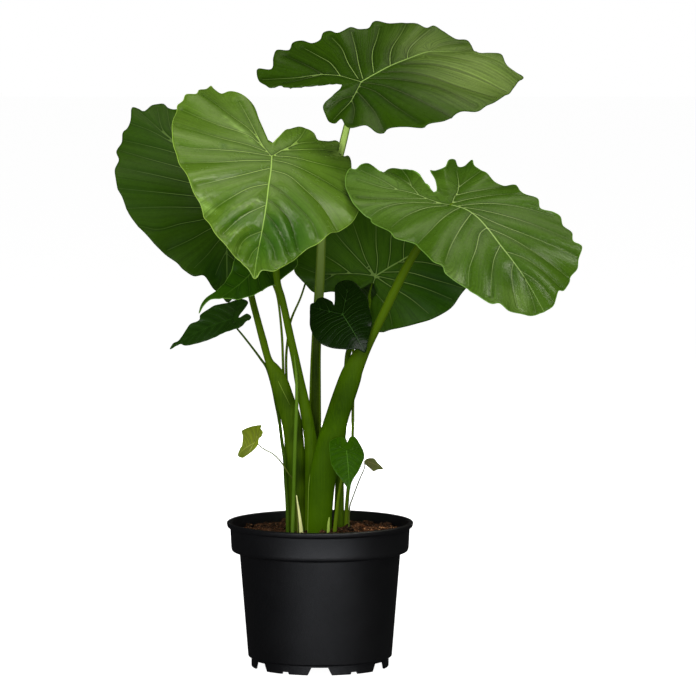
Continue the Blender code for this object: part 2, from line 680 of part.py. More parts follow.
def cut(target, cutter):
    modifier = target.modifiers.new("cut_" + cutter.name, "BOOLEAN")
    modifier.operation = "DIFFERENCE"
    modifier.solver = "EXACT"
    modifier.object = cutter
    hide_cutter(cutter)


def turned(name, profile, sides, mat):
    """A closed ring body from a profile of radius and height pairs."""
    count = len(profile)
    points, faces = [], []
    for k in range(sides):
        turn = 2 * math.pi * (k + 0.5) / sides
        points += [(r * math.sin(turn), -r * math.cos(turn), z) for r, z in profile]
    for k in range(sides):
        ahead = (k + 1) % sides
        for i in range(count):
            j = (i + 1) % count
            faces.append((k * count + i, ahead * count + i, ahead * count + j, k * count + j))
    return add_object(name, points, faces, mat)


def inner_radius(z):
    share = (z - FOOT_HEIGHT) / (COLLAR_BOTTOM - FOOT_HEIGHT)
    return BODY_BOTTOM_RADIUS - WALL + share * (BODY_TOP_RADIUS - BODY_BOTTOM_RADIUS)


def build_pot(mat):
    floor = FOOT_HEIGHT
    profile = [
        (6.0, floor - WALL), (FOOT_RADIUS - 3.0, floor - WALL), (FOOT_RADIUS - 3.0, 0.0),
        (FOOT_RADIUS - 0.6, 0.0), (FOOT_RADIUS, 0.6), (FOOT_RADIUS, floor - 1.0),
        (BODY_BOTTOM_RADIUS - 0.8, floor - 1.0), (BODY_BOTTOM_RADIUS, floor + 0.4),
        (BODY_TOP_RADIUS, COLLAR_BOTTOM - 3.0), (BODY_TOP_RADIUS + 4.0, COLLAR_BOTTOM - 2.4),
        (COLLAR_RADIUS - 4.0, COLLAR_BOTTOM - 0.6), (COLLAR_RADIUS - 1.6, COLLAR_BOTTOM + 2.4),
        (COLLAR_RADIUS, POT_HEIGHT - LIP_HEIGHT), (RIM_RADIUS - 1.0, POT_HEIGHT - LIP_HEIGHT + 0.8),
        (RIM_RADIUS, POT_HEIGHT - LIP_HEIGHT + 2.4), (RIM_RADIUS, POT_HEIGHT - 1.6),
        (RIM_RADIUS - 1.4, POT_HEIGHT), (COLLAR_RADIUS - WALL + 0.4, POT_HEIGHT),
        (COLLAR_RADIUS - WALL - 0.6, POT_HEIGHT - 1.2),
        (COLLAR_RADIUS - WALL - 2.4, COLLAR_BOTTOM + 3.0),
        (inner_radius(COLLAR_BOTTOM), COLLAR_BOTTOM - 1.0),
        (inner_radius(floor + 3.0), floor + 3.0), (inner_radius(floor) - 2.0, floor), (6.0, floor),
    ]
    pot = turned("pot", profile, POT_SIDES, mat)
    cut(pot, notch_cutter(mat))
    cut(pot, drain_cutter(mat))
    return pot


def notch_cutter(mat):
    """Six wedges under the foot ring, with a small one between each pair."""
    points, faces = [], []
    for k in range(2 * NOTCHES):
        turn = math.pi * k / NOTCHES
        large = k % 2 == 0
        low = (NOTCH_BOTTOM if large else SMALL_NOTCH_WIDTH) / 2
        top = (NOTCH_TOP if large else SMALL_NOTCH_WIDTH * 0.8) / 2
        high = NOTCH_HEIGHT if large else SMALL_NOTCH_HEIGHT
        first = len(points)
        for radius in (FOOT_RADIUS - 10.0, FOOT_RADIUS + 10.0):
            for half, z in ((-low, -1.0), (low, -1.0), (top, high), (-top, high)):
                points.append((
                    radius * math.sin(turn) + half * math.cos(turn),
                    -radius * math.cos(turn) + half * math.sin(turn), z,
                ))
        faces += [
            tuple(first + i for i in quad)
            for quad in ((3, 2, 1, 0), (4, 5, 6, 7), (0, 1, 5, 4), (1, 2, 6, 5), (2, 3, 7, 6), (3, 0, 4, 7))
        ]
    return outward(add_object("cutter_notches", points, faces, mat))


def drain_cutter(mat):
    points, faces = [], []
    for k in range(NOTCHES):
        turn = math.pi * (2 * k + 1) / NOTCHES
        middle = np.array([DRAIN_RING * math.sin(turn), -DRAIN_RING * math.cos(turn)])
        first = len(points)
        for z in (FOOT_HEIGHT - 8.0, FOOT_HEIGHT + 2.0):
            for s in range(8):
                a = 2 * math.pi * s / 8
                points.append((middle[0] + DRAIN_RADIUS * math.cos(a),
                               middle[1] + DRAIN_RADIUS * math.sin(a), z))
        faces += [(first + s, first + (s + 1) % 8, first + 8 + (s + 1) % 8, first + 8 + s) for s in range(8)]
        faces.append(tuple(first + s for s in reversed(range(8))))
        faces.append(tuple(first + 8 + s for s in range(8)))
    return outward(add_object("cutter_drains", points, faces, mat))


def outward(obj):
    """Turns every face of the mesh outward."""
    mesh = bmesh.new()
    mesh.from_mesh(obj.data)
    bmesh.ops.recalc_face_normals(mesh, faces=mesh.faces[:])
    mesh.to_mesh(obj.data)
    mesh.free()
    return obj


def soil_height(x, y):
    """Loose coir: a mound to the right of the stalks, a hollow to the left, and small lumps."""
    mound = 7.0 * math.exp(-((x - 42) ** 2 + (y + 8) ** 2) / 900)
    hollow = -5.0 * math.exp(-((x + 52) ** 2 + (y + 20) ** 2) / 700)
    lumps = 1.3 * math.sin(0.21 * x + 0.6) * math.cos(0.24 * y) + 0.9 * math.sin(0.37 * x - 0.31 * y)
    return SOIL_TOP + mound + hollow + lumps


def build_soil(mat, stems):
    floor = FOOT_HEIGHT + SOIL_CLEARANCE
    points, faces = [], []
    wall = [(floor, inner_radius(floor) - 3.0), (floor + 3.0, inner_radius(floor + 3.0) - 0.6),
            (COLLAR_BOTTOM - 0.9, inner_radius(COLLAR_BOTTOM) - 0.7),
            (COLLAR_BOTTOM + 3.8, COLLAR_RADIUS - WALL - 3.2), (SOIL_TOP - 7.0, COLLAR_RADIUS - WALL - 2.9)]
    for z, radius in wall:
        for k in range(SOIL_SPOKES):
            turn = 2 * math.pi * k / SOIL_SPOKES
            points.append((radius * math.cos(turn), radius * math.sin(turn), z))
    edge = COLLAR_RADIUS - WALL - 3.0
    for ring in range(SOIL_RINGS):
        radius = edge * (1 - ring / SOIL_RINGS)
        for k in range(SOIL_SPOKES):
            turn = 2 * math.pi * k / SOIL_SPOKES
            x, y = radius * math.cos(turn), radius * math.sin(turn)
            points.append((x, y, soil_height(x, y)))
    rings = len(wall) + SOIL_RINGS
    points.append((0.0, 0.0, soil_height(0.0, 0.0)))
    for ring in range(rings - 1):
        for k in range(SOIL_SPOKES):
            a, b = ring * SOIL_SPOKES + k, ring * SOIL_SPOKES + (k + 1) % SOIL_SPOKES
            faces.append((a, b, b + SOIL_SPOKES, a + SOIL_SPOKES))
    last = (rings - 1) * SOIL_SPOKES
    faces += [(last + k, last + (k + 1) % SOIL_SPOKES, len(points) - 1) for k in range(SOIL_SPOKES)]
    faces.append(tuple(reversed(range(SOIL_SPOKES))))
    soil = add_object("soil", points, faces, mat)
    for name, (stations, wide, thick) in stems.items():
        cut(soil, socket(name, stations, wide, thick, mat))
    return soil


def socket(name, stations, wide, thick, mat):
    """The room that one stalk takes up in the soil, with a little play round it."""
    low = [s for s in range(len(stations)) if stations[s][2] < SOIL_TOP + 45]
    base = stations[0] - (stations[1] - stations[0]) / np.linalg.norm(stations[1] - stations[0]) * 0.4
    line = np.vstack([base, stations[low][1:]])
    points, faces = tube(line, wide[low] + 0.35, thick[low] + 0.35)
    return outward(add_object("socket_" + name, points, faces, mat))


def centre_everything():
    """Slides the model so that the middle of its box stands over the origin, feet on the floor."""
    shown = [o for o in bpy.context.collection.objects if o.type == "MESH" and not o.hide_render]
    corners = np.array([tuple(v.co) for o in shown for v in o.data.vertices])
    low, high = corners.min(axis=0), corners.max(axis=0)
    shift = Vector((-(low[0] + high[0]) / 2, -(low[1] + high[1]) / 2, -low[2]))
    for obj in bpy.context.collection.objects:
        for vertex in obj.data.vertices:
            vertex.co += shift


def main():
    for obj in list(bpy.data.objects):
        bpy.data.objects.remove(obj, do_unlink=True)
    stalk_mat = material("stalk", STALK_GREEN, 0.40)
    husk_mat = material("husk", PALE_HUSK, 0.55)
    stems = {}
    for name, spec in BLADES.items():
        blade = build_blade(name, spec)
        build_stalk(name, blade, stalk_mat)
        stems["stalk_" + name] = stalk_route(name, blade)[:3]
    for name in SHOOTS:
        build_shoot(name, husk_mat if name.startswith("husk") else stalk_mat)
        stems[name] = route(SHOOTS[name])
    build_pot(material("pot", POT_BLACK, 0.45))
    build_soil(material("soil", COIR, 0.95), stems)
    centre_everything()


main()
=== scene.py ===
import math
import random

import bmesh
import bpy
import numpy as np
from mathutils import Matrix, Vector
from mathutils.geometry import delaunay_2d_cdt


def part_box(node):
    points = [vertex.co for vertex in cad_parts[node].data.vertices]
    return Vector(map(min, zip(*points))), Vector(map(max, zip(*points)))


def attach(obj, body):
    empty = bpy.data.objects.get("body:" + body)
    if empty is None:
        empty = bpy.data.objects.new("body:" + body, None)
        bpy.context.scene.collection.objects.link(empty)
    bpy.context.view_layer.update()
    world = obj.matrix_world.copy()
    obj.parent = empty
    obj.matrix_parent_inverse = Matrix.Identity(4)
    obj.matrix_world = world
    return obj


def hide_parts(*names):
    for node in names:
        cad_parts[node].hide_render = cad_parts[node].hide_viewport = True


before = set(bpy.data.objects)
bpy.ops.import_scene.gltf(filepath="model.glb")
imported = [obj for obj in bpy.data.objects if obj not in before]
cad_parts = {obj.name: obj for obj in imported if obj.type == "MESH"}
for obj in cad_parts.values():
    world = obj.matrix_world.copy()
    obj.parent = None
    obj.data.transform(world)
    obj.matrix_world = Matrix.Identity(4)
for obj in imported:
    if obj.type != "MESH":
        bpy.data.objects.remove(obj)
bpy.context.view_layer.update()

mm = 0.001
potLow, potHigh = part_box("pot")
potAxis = np.array([(potLow[0] + potHigh[0]) / 2, (potLow[1] + potHigh[1]) / 2, 0.0])

# the viewer, in millimetres from the foot of the pot's axis
eyeDistance = 8000.0
eyeElevation = math.radians(5.81)
aim = np.array([36.0, 0.0, 411.0])
sightAhead = np.array([0.0, math.cos(eyeElevation), -math.sin(eyeElevation)])
sightUp = np.array([0.0, math.sin(eyeElevation), math.cos(eyeElevation)])
eye = aim - sightAhead * eyeDistance
lensLength = 322.7
bladeThickness = 0.9


def toFrame(points):
    return np.asarray(points) * mm + potAxis


def addObject(name, data):
    obj = bpy.data.objects.new(name, data)
    bpy.context.collection.objects.link(obj)
    return obj


def makeObject(name, points, faces, mat, smooth=True):
    mesh = bpy.data.meshes.new(name)
    mesh.from_pydata([tuple(p) for p in toFrame(points)], [], [tuple(f) for f in faces])
    mesh.validate()
    mesh.update()
    if smooth:
        mesh.polygons.foreach_set("use_smooth", [True] * len(mesh.polygons))
    if mat:
        mesh.materials.append(mat)
    return addObject(name, mesh)


def giveValues(obj, **values):
    for name, numbers in values.items():
        layer = obj.data.attributes.new(name, "FLOAT", "POINT")
        layer.data.foreach_set("value", np.asarray(numbers, np.float32))


def declare(obj, slotName, *nodes):
    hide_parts(*nodes)
    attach(obj, "root")


def bridge(ring, count):
    # quads from a ring of points to the next one
    low, high = ring * count, (ring + 1) * count
    return [(low + k, low + (k + 1) % count, high + (k + 1) % count, high + k) for k in range(count)]


# node helpers

def addNode(tree, kind, **settings):
    node = tree.nodes.new(kind)
    for key, value in settings.items():
        setattr(node, key, value)
    return node


def setSocket(tree, socket, value):
    if isinstance(value, bpy.types.NodeSocket):
        tree.links.new(value, socket)
    elif socket.type == "RGBA":
        socket.default_value = (*value, 1.0)
    else:
        socket.default_value = value


def setInputs(tree, node, keys, values):
    for key, value in zip(keys, values):
        setSocket(tree, node.inputs[key], value)


def mathNode(tree, operation, a, b=0.0):
    node = addNode(tree, "ShaderNodeMath", operation=operation)
    setInputs(tree, node, (0, 1), (a, b))
    return node.outputs[0]


def times(tree, first, *others):
    for other in others:
        first = mathNode(tree, "MULTIPLY", first, other)
    return first


def rangeNode(tree, value, fromLow, fromHigh, toLow=0.0, toHigh=1.0, kind="SMOOTHSTEP"):
    node = addNode(tree, "ShaderNodeMapRange", interpolation_type=kind)
    setInputs(tree, node, ("Value", "From Min", "From Max", "To Min", "To Max"),
              (value, fromLow, fromHigh, toLow, toHigh))
    return node.outputs["Result"]


def mixColour(tree, factor, a, b, blend="MIX"):
    node = addNode(tree, "ShaderNodeMix", data_type="RGBA", blend_type=blend)
    setInputs(tree, node, ("Factor",), (factor,))
    for socket, value in zip((s for s in node.inputs if s.type == "RGBA"), (a, b)):
        setSocket(tree, socket, value)
    return next(s for s in node.outputs if s.type == "RGBA")


def noiseNode(tree, vector, scale, detail, roughness=0.55):
    node = addNode(tree, "ShaderNodeTexNoise")
    setInputs(tree, node, ("Vector", "Scale", "Detail", "Roughness"), (vector, scale, detail, roughness))
    return node.outputs["Fac"]


def vectorNode(tree, operation, *values):
    node = addNode(tree, "ShaderNodeVectorMath", operation=operation)
    setInputs(tree, node, range(len(values)), values)
    return node.outputs["Value" if operation == "DISTANCE" else "Vector"]


def placeNode(tree):
    return addNode(tree, "ShaderNodeTexCoord").outputs["Object"]


def valueOf(tree, name):
    return addNode(tree, "ShaderNodeAttribute", attribute_name=name).outputs["Fac"]


def newGroup(name, colours, numbers, outputs):
    tree = bpy.data.node_groups.new(name, "ShaderNodeTree")
    for title in (*colours, *numbers):
        kind = "NodeSocketColor" if title in colours else "NodeSocketFloat"
        tree.interface.new_socket(title, in_out="INPUT", socket_type=kind)
    for title in outputs:
        kind = "NodeSocketColor" if title == "Colour" else "NodeSocketFloat"
        tree.interface.new_socket(title, in_out="OUTPUT", socket_type=kind)
    return tree, tree.nodes.new("NodeGroupInput").outputs, tree.nodes.new("NodeGroupOutput").inputs


def newMaterial(name, **constants):
    mat = bpy.data.materials.new(name)
    mat.use_nodes = True
    shader = mat.node_tree.nodes["Principled BSDF"]
    for key, value in constants.items():
        shader.inputs[key.replace("_", " ")].default_value = value
    return mat, mat.node_tree, shader


def addBump(tree, shader, height, distance):
    node = addNode(tree, "ShaderNodeBump")
    setInputs(tree, node, ("Strength", "Distance", "Height"), (1.0, distance, height))
    tree.links.new(node.outputs["Normal"], shader.inputs["Normal"])


def linear(r, g, b):
    # display values of 0 to 255 to a linear colour
    return tuple((c / 255 / 12.92) if c / 255 <= 0.04045 else ((c / 255 + 0.055) / 1.055) ** 2.4
                 for c in (r, g, b))


def groupMaterial(name, group, look, bump, **constants):
    mat, tree, shader = newMaterial(name, **constants)
    paint = addNode(tree, "ShaderNodeGroup", node_tree=group)
    for socket in paint.inputs:
        value = look[socket.name]
        setSocket(tree, socket, linear(*value) if socket.type == "RGBA" else value)
    tree.links.new(paint.outputs["Colour"], shader.inputs["Base Color"])
    if "Roughness" in paint.outputs:
        tree.links.new(paint.outputs["Roughness"], shader.inputs["Roughness"])
    addBump(tree, shader, paint.outputs["Height"], bump)
    return mat


# leaf paint: veins, mottling, painted sheen and painted shade in pale and dark areas, pale rim and a paler
# underside; its distances are in millimetres

def makeLeafPaint():
    tree, given, out = newGroup(
        "leafPaint", ("blade", "pale", "vein", "rim", "paintedLight"),
        ("rimWidth", "veinWidth", "size", "shine", "wrinkles"), ("Colour", "Roughness", "Height"))
    place = placeNode(tree)
    side, under, reach = (valueOf(tree, name) for name in ("sideVein", "under", "reach"))
    width = given["veinWidth"]
    cloud = noiseNode(tree, place, 16.0, 4.0)
    grain = noiseNode(tree, place, 260.0, 3.0)
    streak = noiseNode(tree, place, 70.0, 3.0)
    # fine veining that runs along the side veins: the noise is drawn out along the fields
    combed = addNode(tree, "ShaderNodeCombineXYZ")
    setInputs(tree, combed, ("X",), (times(tree, valueOf(tree, "field"), 24.0),))
    spread = vectorNode(tree, "MULTIPLY_ADD", place, (14.0, 14.0, 14.0), combed.outputs["Vector"])
    comb = noiseNode(tree, spread, 1.0, 3.0, 0.65)
    # side veins fade towards the margin
    sideLine = rangeNode(tree, side, times(tree, width, 0.15), width, 1.0, 0.0)
    sideLine = times(tree, sideLine, rangeNode(tree, reach, 0.3, 0.95, 1.0, 0.25), valueOf(tree, "glow"))
    # the midrib grows thinner and fainter towards the tip
    midWidth = times(tree, width, rangeNode(tree, reach, 0.2, 1.0, 1.5, 0.7))
    midLine = rangeNode(tree, valueOf(tree, "midrib"), times(tree, midWidth, 0.33), midWidth, 1.0, 0.0)
    midLine = times(tree, midLine, rangeNode(tree, reach, 0.5, 1.0, 1.0, 0.45))
    fineLine = rangeNode(tree, valueOf(tree, "fineVein"), 0.0, times(tree, width, 0.7), 1.0, 0.0)
    # cloudy, and paler away from the veins
    tone = rangeNode(tree, cloud, 0.32, 0.72)
    blade = mixColour(tree, times(tree, tone, 0.45), given["blade"], given["pale"])
    crown = rangeNode(tree, side, 0.0, times(tree, given["size"], 9.0))
    blade = mixColour(tree, times(tree, crown, 0.55), blade, given["pale"])
    # painted sheen: pale areas that stand in for highlights, streaked by the fine veining
    paintedLight = valueOf(tree, "paintedLight")
    pale = times(tree, mathNode(tree, "MAXIMUM", paintedLight, 0.0), rangeNode(tree, comb, 0.40, 0.58, 0.55, 1.0))
    blade = mixColour(tree, pale, blade, given["paintedLight"])
    # painted shade: dark areas of a deeper green, where shade falls in hollows
    deep = times(tree, mathNode(tree, "MINIMUM", paintedLight, 0.0), -1.0)
    blade = mixColour(tree, deep, blade, (0.10, 0.42, 0.04), "MULTIPLY")
    # specks, fine veining and the shaded flanks of the side veins
    specks = rangeNode(tree, grain, 0.35, 0.75, 0.92, 1.06, "LINEAR")
    lines = rangeNode(tree, comb, 0.34, 0.52, 0.74, 1.05, "LINEAR")
    deepest = rangeNode(tree, reach, 0.45, 0.9, 0.52, 0.85)
    flank = rangeNode(tree, side, times(tree, width, 0.7), times(tree, width, 3.2), deepest, 1.0)
    blade = mixColour(tree, 1.0, blade, times(tree, specks, lines, flank), "MULTIPLY")
    for line, strength in ((fineLine, 0.22), (sideLine, 0.72), (midLine, 0.85)):
        blade = mixColour(tree, times(tree, line, strength), blade, given["vein"])
    rimWidth = given["rimWidth"]
    rimLine = rangeNode(tree, valueOf(tree, "edge"), times(tree, rimWidth, 0.3), rimWidth, 1.0, 0.0)
    blade = mixColour(tree, times(tree, rimLine, 0.8), blade, given["rim"])
    # the underside is paler and duller
    lower = mixColour(tree, 0.35, blade, (0.16, 0.24, 0.09))
    lower = mixColour(tree, mathNode(tree, "MAXIMUM", sideLine, midLine), lower, (0.24, 0.33, 0.12))
    tree.links.new(mixColour(tree, under, blade, lower), out["Colour"])
    rough = mathNode(tree, "ADD", given["shine"], times(tree, streak, 0.10))
    rough = mathNode(tree, "ADD", rough, times(tree, under, 0.22))
    tree.links.new(rough, out["Roughness"])
    # wrinkles across the fields, only where the blade is puckered
    crinkle = times(tree, noiseNode(tree, place, 95.0, 4.0, 0.65), valueOf(tree, "pucker"))
    height = times(tree, grain, 0.10)
    for part, amount in ((comb, 0.35), (streak, 0.6), (crinkle, given["wrinkles"]), (fineLine, -0.55)):
        height = mathNode(tree, "ADD", height, times(tree, part, amount))
    tree.links.new(height, out["Height"])
    return tree


leafPaint = makeLeafPaint()
plainLook = dict(rimWidth=1.3, veinWidth=0.8, size=1.0, shine=0.36, wrinkles=0.03, specular=0.35)


def leafMaterial(name, look):
    look = {**plainLook, "paintedLight": look["pale"], **look}
    return groupMaterial(name, leafPaint, look, 0.0007 * look["size"],
                         Specular_IOR_Level=look["specular"])


# lines of sight: leaf outlines and stalk routes are read in millimetres on an upright sheet that
# faces the viewer, across from the pot's axis and up from the floor

def sightLines(sheetPoints):
    p = np.atleast_2d(np.asarray(sheetPoints, float))
    across = np.array([1.0, 0.0, 0.0]) * (p[:, :1] - aim[0])
    return sightAhead * eyeDistance + across + sightUp * (p[:, 1:2] - aim[2])


def atDepth(x, up, depth):
    line = sightLines([(x, up)])[0]
    return eye + line * (depth - eye[1]) / line[1]


def curvePoint(a, b, c, d, t):
    return 0.5 * (2 * b + (c - a) * t + (2 * a - 5 * b + 4 * c - d) * t * t
                  + (3 * b - a - 3 * c + d) * t ** 3)


def smoothClosed(points, step):
    p = np.asarray(points, float)
    out = []
    for i in range(len(p)):
        a, b, c, d = p[i - 1], p[i], p[(i + 1) % len(p)], p[(i + 2) % len(p)]
        cuts = max(1, round(float(np.linalg.norm(c - b)) / step))
        out += [curvePoint(a, b, c, d, k / cuts) for k in range(cuts)]
    return np.array(out)


def smoothOpen(points, cuts=4):
    p = np.asarray(points, float)
    p = np.vstack([2 * p[0] - p[1], p, 2 * p[-1] - p[-2]])
    out = []
    for i in range(1, len(p) - 2):
        out += [curvePoint(*p[i - 1:i + 3], k / cuts) for k in range(cuts)]
    out.append(p[-2])
    return np.array(out)


def thin(points, least):
    kept = [points[0]]
    for p in points[1:]:
        if np.linalg.norm(p - kept[-1]) >= least:
            kept.append(p)
    if np.linalg.norm(kept[-1] - kept[0]) < least:
        kept.pop()
    return np.array(kept)


def isInside(points, polygon):
    x, y = points[:, 0], points[:, 1]
    result = np.zeros(len(points), bool)
    for a, b in zip(polygon, np.roll(polygon, -1, axis=0)):
        crosses = (a[1] > y) != (b[1] > y)
        slope = (b[0] - a[0]) / (b[1] - a[1]) if b[1] != a[1] else 0.0
        result ^= crosses & (x < a[0] + slope * (y - a[1]))
    return result


def distanceTo(points, line):
    best = np.full(len(points), 1e9)
    for a, b in zip(line[:-1], line[1:]):
        ab = b - a
        t = np.clip(((points - a) @ ab) / max(ab @ ab, 1e-9), 0, 1)
        best = np.minimum(best, np.linalg.norm(points - a - t[:, None] * ab, axis=1))
    return best


def nearestOf(points, lines):
    return np.min([np.full(len(points), 1e9)] + [distanceTo(points, line) for line in lines], axis=0)


def fieldOf(points, lines, glows):
    # how far a point lies across its field between two veins, and how bright the nearest vein is
    distances = np.stack([distanceTo(points, line) for line in lines])
    order = np.argsort(distances, axis=0)
    rows = np.arange(len(points))
    near, far = distances[order[0], rows], distances[order[1], rows]
    return near / np.maximum(near + far, 1e-6), np.asarray(glows)[order[0]]


# leaf blades

leafForm = dict(
    # shares of the blade's length
    calm=0.35, margin=0.0155, grooveDepth=0.0055, grooveWidth=0.020, fieldDepth=0.0070,
    fieldWidth=0.065, creaseDepth=0.0028, creaseWidth=0.014, puckerStart=0.25,
    # millimetres; ribs and rim are narrower on a leaf shorter than fullLength
    wrinkleHeight=0.55, ribHeight=2.6, ribWidth=2.6, sideRibHeight=1.2, sideRibWidth=1.6,
    rimWidth=2.5, fullLength=190.0, step=2.4,
    # shares of the thickness and of a vein's brightness
    rimShare=0.35, faintGlow=0.25,
)
# where a small leaf's veins start on the midrib or on a lobe, and where they end on the margin
lateralVeins = ((0.02, 0.50), (0.16, 0.60), (0.32, 0.69), (0.48, 0.77), (0.63, 0.85), (0.78, 0.92))
lobeVeins = ((0.35, 0.42), (0.62, 0.35), (0.40, 0.13), (0.68, 0.19))
lobeFineVeins = ((0.18, 0.46), (0.50, 0.385))
lobeEnd, veinReach, fineReach = 0.27, 0.94, 0.80
planeRounds = 60


class Blade:
    # a leaf blade on its own slanting plane, with a along the midrib and b across it

    def __init__(self, spec):
        self.spec = spec
        turn, lift = (math.radians(v) for v in spec["face"])
        self.normal = np.array([
            math.sin(turn) * math.cos(lift), -math.cos(turn) * math.cos(lift), math.sin(lift),
        ])
        self.joint = atDepth(*spec["joint"], spec["depth"])
        line = sightLines([spec["tip"]])[0]
        tip = eye + line * ((self.joint - eye) @ self.normal) / (line @ self.normal)
        self.length = float(np.linalg.norm(tip - self.joint))
        self.along = (tip - self.joint) / self.length
        self.across = np.cross(self.normal, self.along)
        self.left = self.toPlane(spec["left"], margin=True)
        self.right = self.toPlane(spec["right"], margin=True)
        self.tip = np.array([self.length, 0.0])
        self.notch = self.left[0]
        self.outline = np.vstack([self.left, self.tip, self.right])
        angle = np.arctan2(self.outline[:, 1], self.outline[:, 0])
        order = np.argsort(angle)
        self.polar = angle[order], np.linalg.norm(self.outline, axis=1)[order]
        self.makeVeins()

    def bend(self, ab):
        spec, size = self.spec, self.length
        a, b = ab[:, 0] / size, ab[:, 1] / size
        rise = 4 * spec["arch"] * a * (1 - a)
        back = 4 * spec["arch"] * a - spec["lobe"] * a * a
        return size * (np.where(a > 0, rise, back) - spec["side"] * b * b)

    def ripple(self, ab, radius):
        # the waves of the margin, calm near the notch
        angle = np.arctan2(ab[:, 1], ab[:, 0])
        calm = np.clip(radius / (leafForm["calm"] * self.length), 0, 1)
        return self.spec["wave"] * calm * np.sin(self.spec["waves"] * angle + 1.3 * np.sin(2 * angle))

    def quilted(self, swell, ab):
        ahead = 1 + self.spec.get("puckered", 0.0) * np.clip(ab[:, 0] / self.length, 0, 1)
        return swell * ahead * self.spec.get("quilt", 1.0)

    def reachOf(self, ab):
        # the share of the way from the joint to the margin, and the length of that way
        radius = np.interp(np.arctan2(ab[:, 1], ab[:, 0]), *self.polar, period=2 * math.pi)
        return np.clip(np.linalg.norm(ab, axis=1) / radius, 0, 1), radius

    def puckerOf(self, ab):
        share = ab[:, 0] / self.length - leafForm["puckerStart"]
        return np.clip(share, 0, 1) * ("puckered" in self.spec)

    def toPlane(self, sheetPoints, margin=False):
        # a point's place on the plane and the blade's height there are found by turns
        lines = sightLines(sheetPoints)
        height = np.zeros(len(lines))
        for _ in range(planeRounds):
            t = ((self.joint - eye) @ self.normal + height) / (lines @ self.normal)
            p = eye + lines * t[:, None] - self.joint
            ab = np.stack([p @ self.along, p @ self.across], axis=1)
            goal = self.bend(ab)
            if margin:
                swell = self.quilted(leafForm["margin"] * self.length, ab)
                goal += self.ripple(ab, np.linalg.norm(ab, axis=1)) + swell
            height = 0.6 * height + 0.4 * goal
        return ab

    def sidePoint(self, side, share):
        line = np.vstack([self.left if side > 0 else self.right[::-1], self.tip])
        way = np.concatenate([[0], np.cumsum(np.linalg.norm(np.diff(line, axis=0), axis=1))])
        return np.array([np.interp(share * way[-1], way, line[:, k]) for k in (0, 1)])

    def sideVein(self, foot, side, share, reach, sweep=0.08):
        end = foot + (self.sidePoint(side, share) - foot) * reach
        middle = foot * 0.52 + end * 0.48
        middle[0] -= sweep * np.linalg.norm(end - foot)
        return smoothOpen([foot, middle, end])

    def makeVeins(self):
        if "veins" in self.spec:
            # veins that were read on the leaf itself
            self.midLines = [smoothOpen(self.toPlane(self.spec["midrib"]))]
            self.sideLines = [smoothOpen(self.toPlane(vein)) for vein in self.spec["veins"]]
            self.fineLines = []
            return
        joint = np.zeros(2)
        self.midLines = [np.array([joint, self.tip * 0.5, self.tip * 0.97])]
        self.sideLines, self.fineLines = [], []
        for side in (1, -1):
            lobe = self.sidePoint(side, lobeEnd)
            self.sideLines.append(smoothOpen([joint, lobe * 0.5 + [0, 0.02 * lobe[1]], lobe * 0.93]))
            for start, share in lobeVeins:
                foot = lobe * start
                end = foot + (self.sidePoint(side, share) - foot) * veinReach
                self.sideLines.append(np.array([foot, (foot + end) / 2, end]))
            self.sideLines += [self.sideVein(self.tip * start, side, share, veinReach)
                               for start, share in lateralVeins]
            # thinner veins half way between the main ones
            self.fineLines += [self.sideVein(self.tip * (s0 + s1) / 2, side, (m0 + m1) / 2, fineReach)
                               for (s0, m0), (s1, m1) in zip(lateralVeins[:-1], lateralVeins[1:])]
            self.fineLines += [self.sideVein(lobe * start, side, share, fineReach, 0.0)
                               for start, share in lobeFineVeins]

    def relief(self, ab):
        size, form = self.length, leafForm
        reach, radius = self.reachOf(ab)
        main = nearestOf(ab, self.midLines + self.sideLines)
        # fields bulge between sunken veins, most of all towards the margin, which ruffles with them
        groove = form["grooveDepth"] * size * (1 - np.exp(-(main / (form["grooveWidth"] * size)) ** 1.3))
        field = form["fieldDepth"] * size * (1 - np.exp(-(main / (form["fieldWidth"] * size)) ** 2))
        swell = self.quilted((groove + field) * (0.75 + 0.9 * reach ** 4), ab)
        height = self.ripple(ab, radius) * reach ** 3 + swell
        if self.fineLines:
            fine = nearestOf(ab, self.fineLines)
            height += form["creaseDepth"] * size * (1 - np.exp(-fine / (form["creaseWidth"] * size)))
        # crossing wrinkles where the blade is puckered
        a, b = ab[:, 0], ab[:, 1]
        wrinkle = np.sin(0.50 * a + 0.34 * b + 1.6 * np.sin(0.11 * b))
        wrinkle *= np.sin(0.44 * b - 0.2 * a + 1.3 * np.sin(0.13 * a))
        wrinkle *= form["wrinkleHeight"] * self.puckerOf(ab)
        return height + wrinkle * np.clip(main / 6, 0, 1) * (1 - reach ** 6)

    def toSpace(self, ab):
        height = self.bend(ab) + self.relief(ab)
        return (self.joint + ab[:, :1] * self.along + ab[:, 1:] * self.across
                + height[:, None] * self.normal)

    def net(self, step):
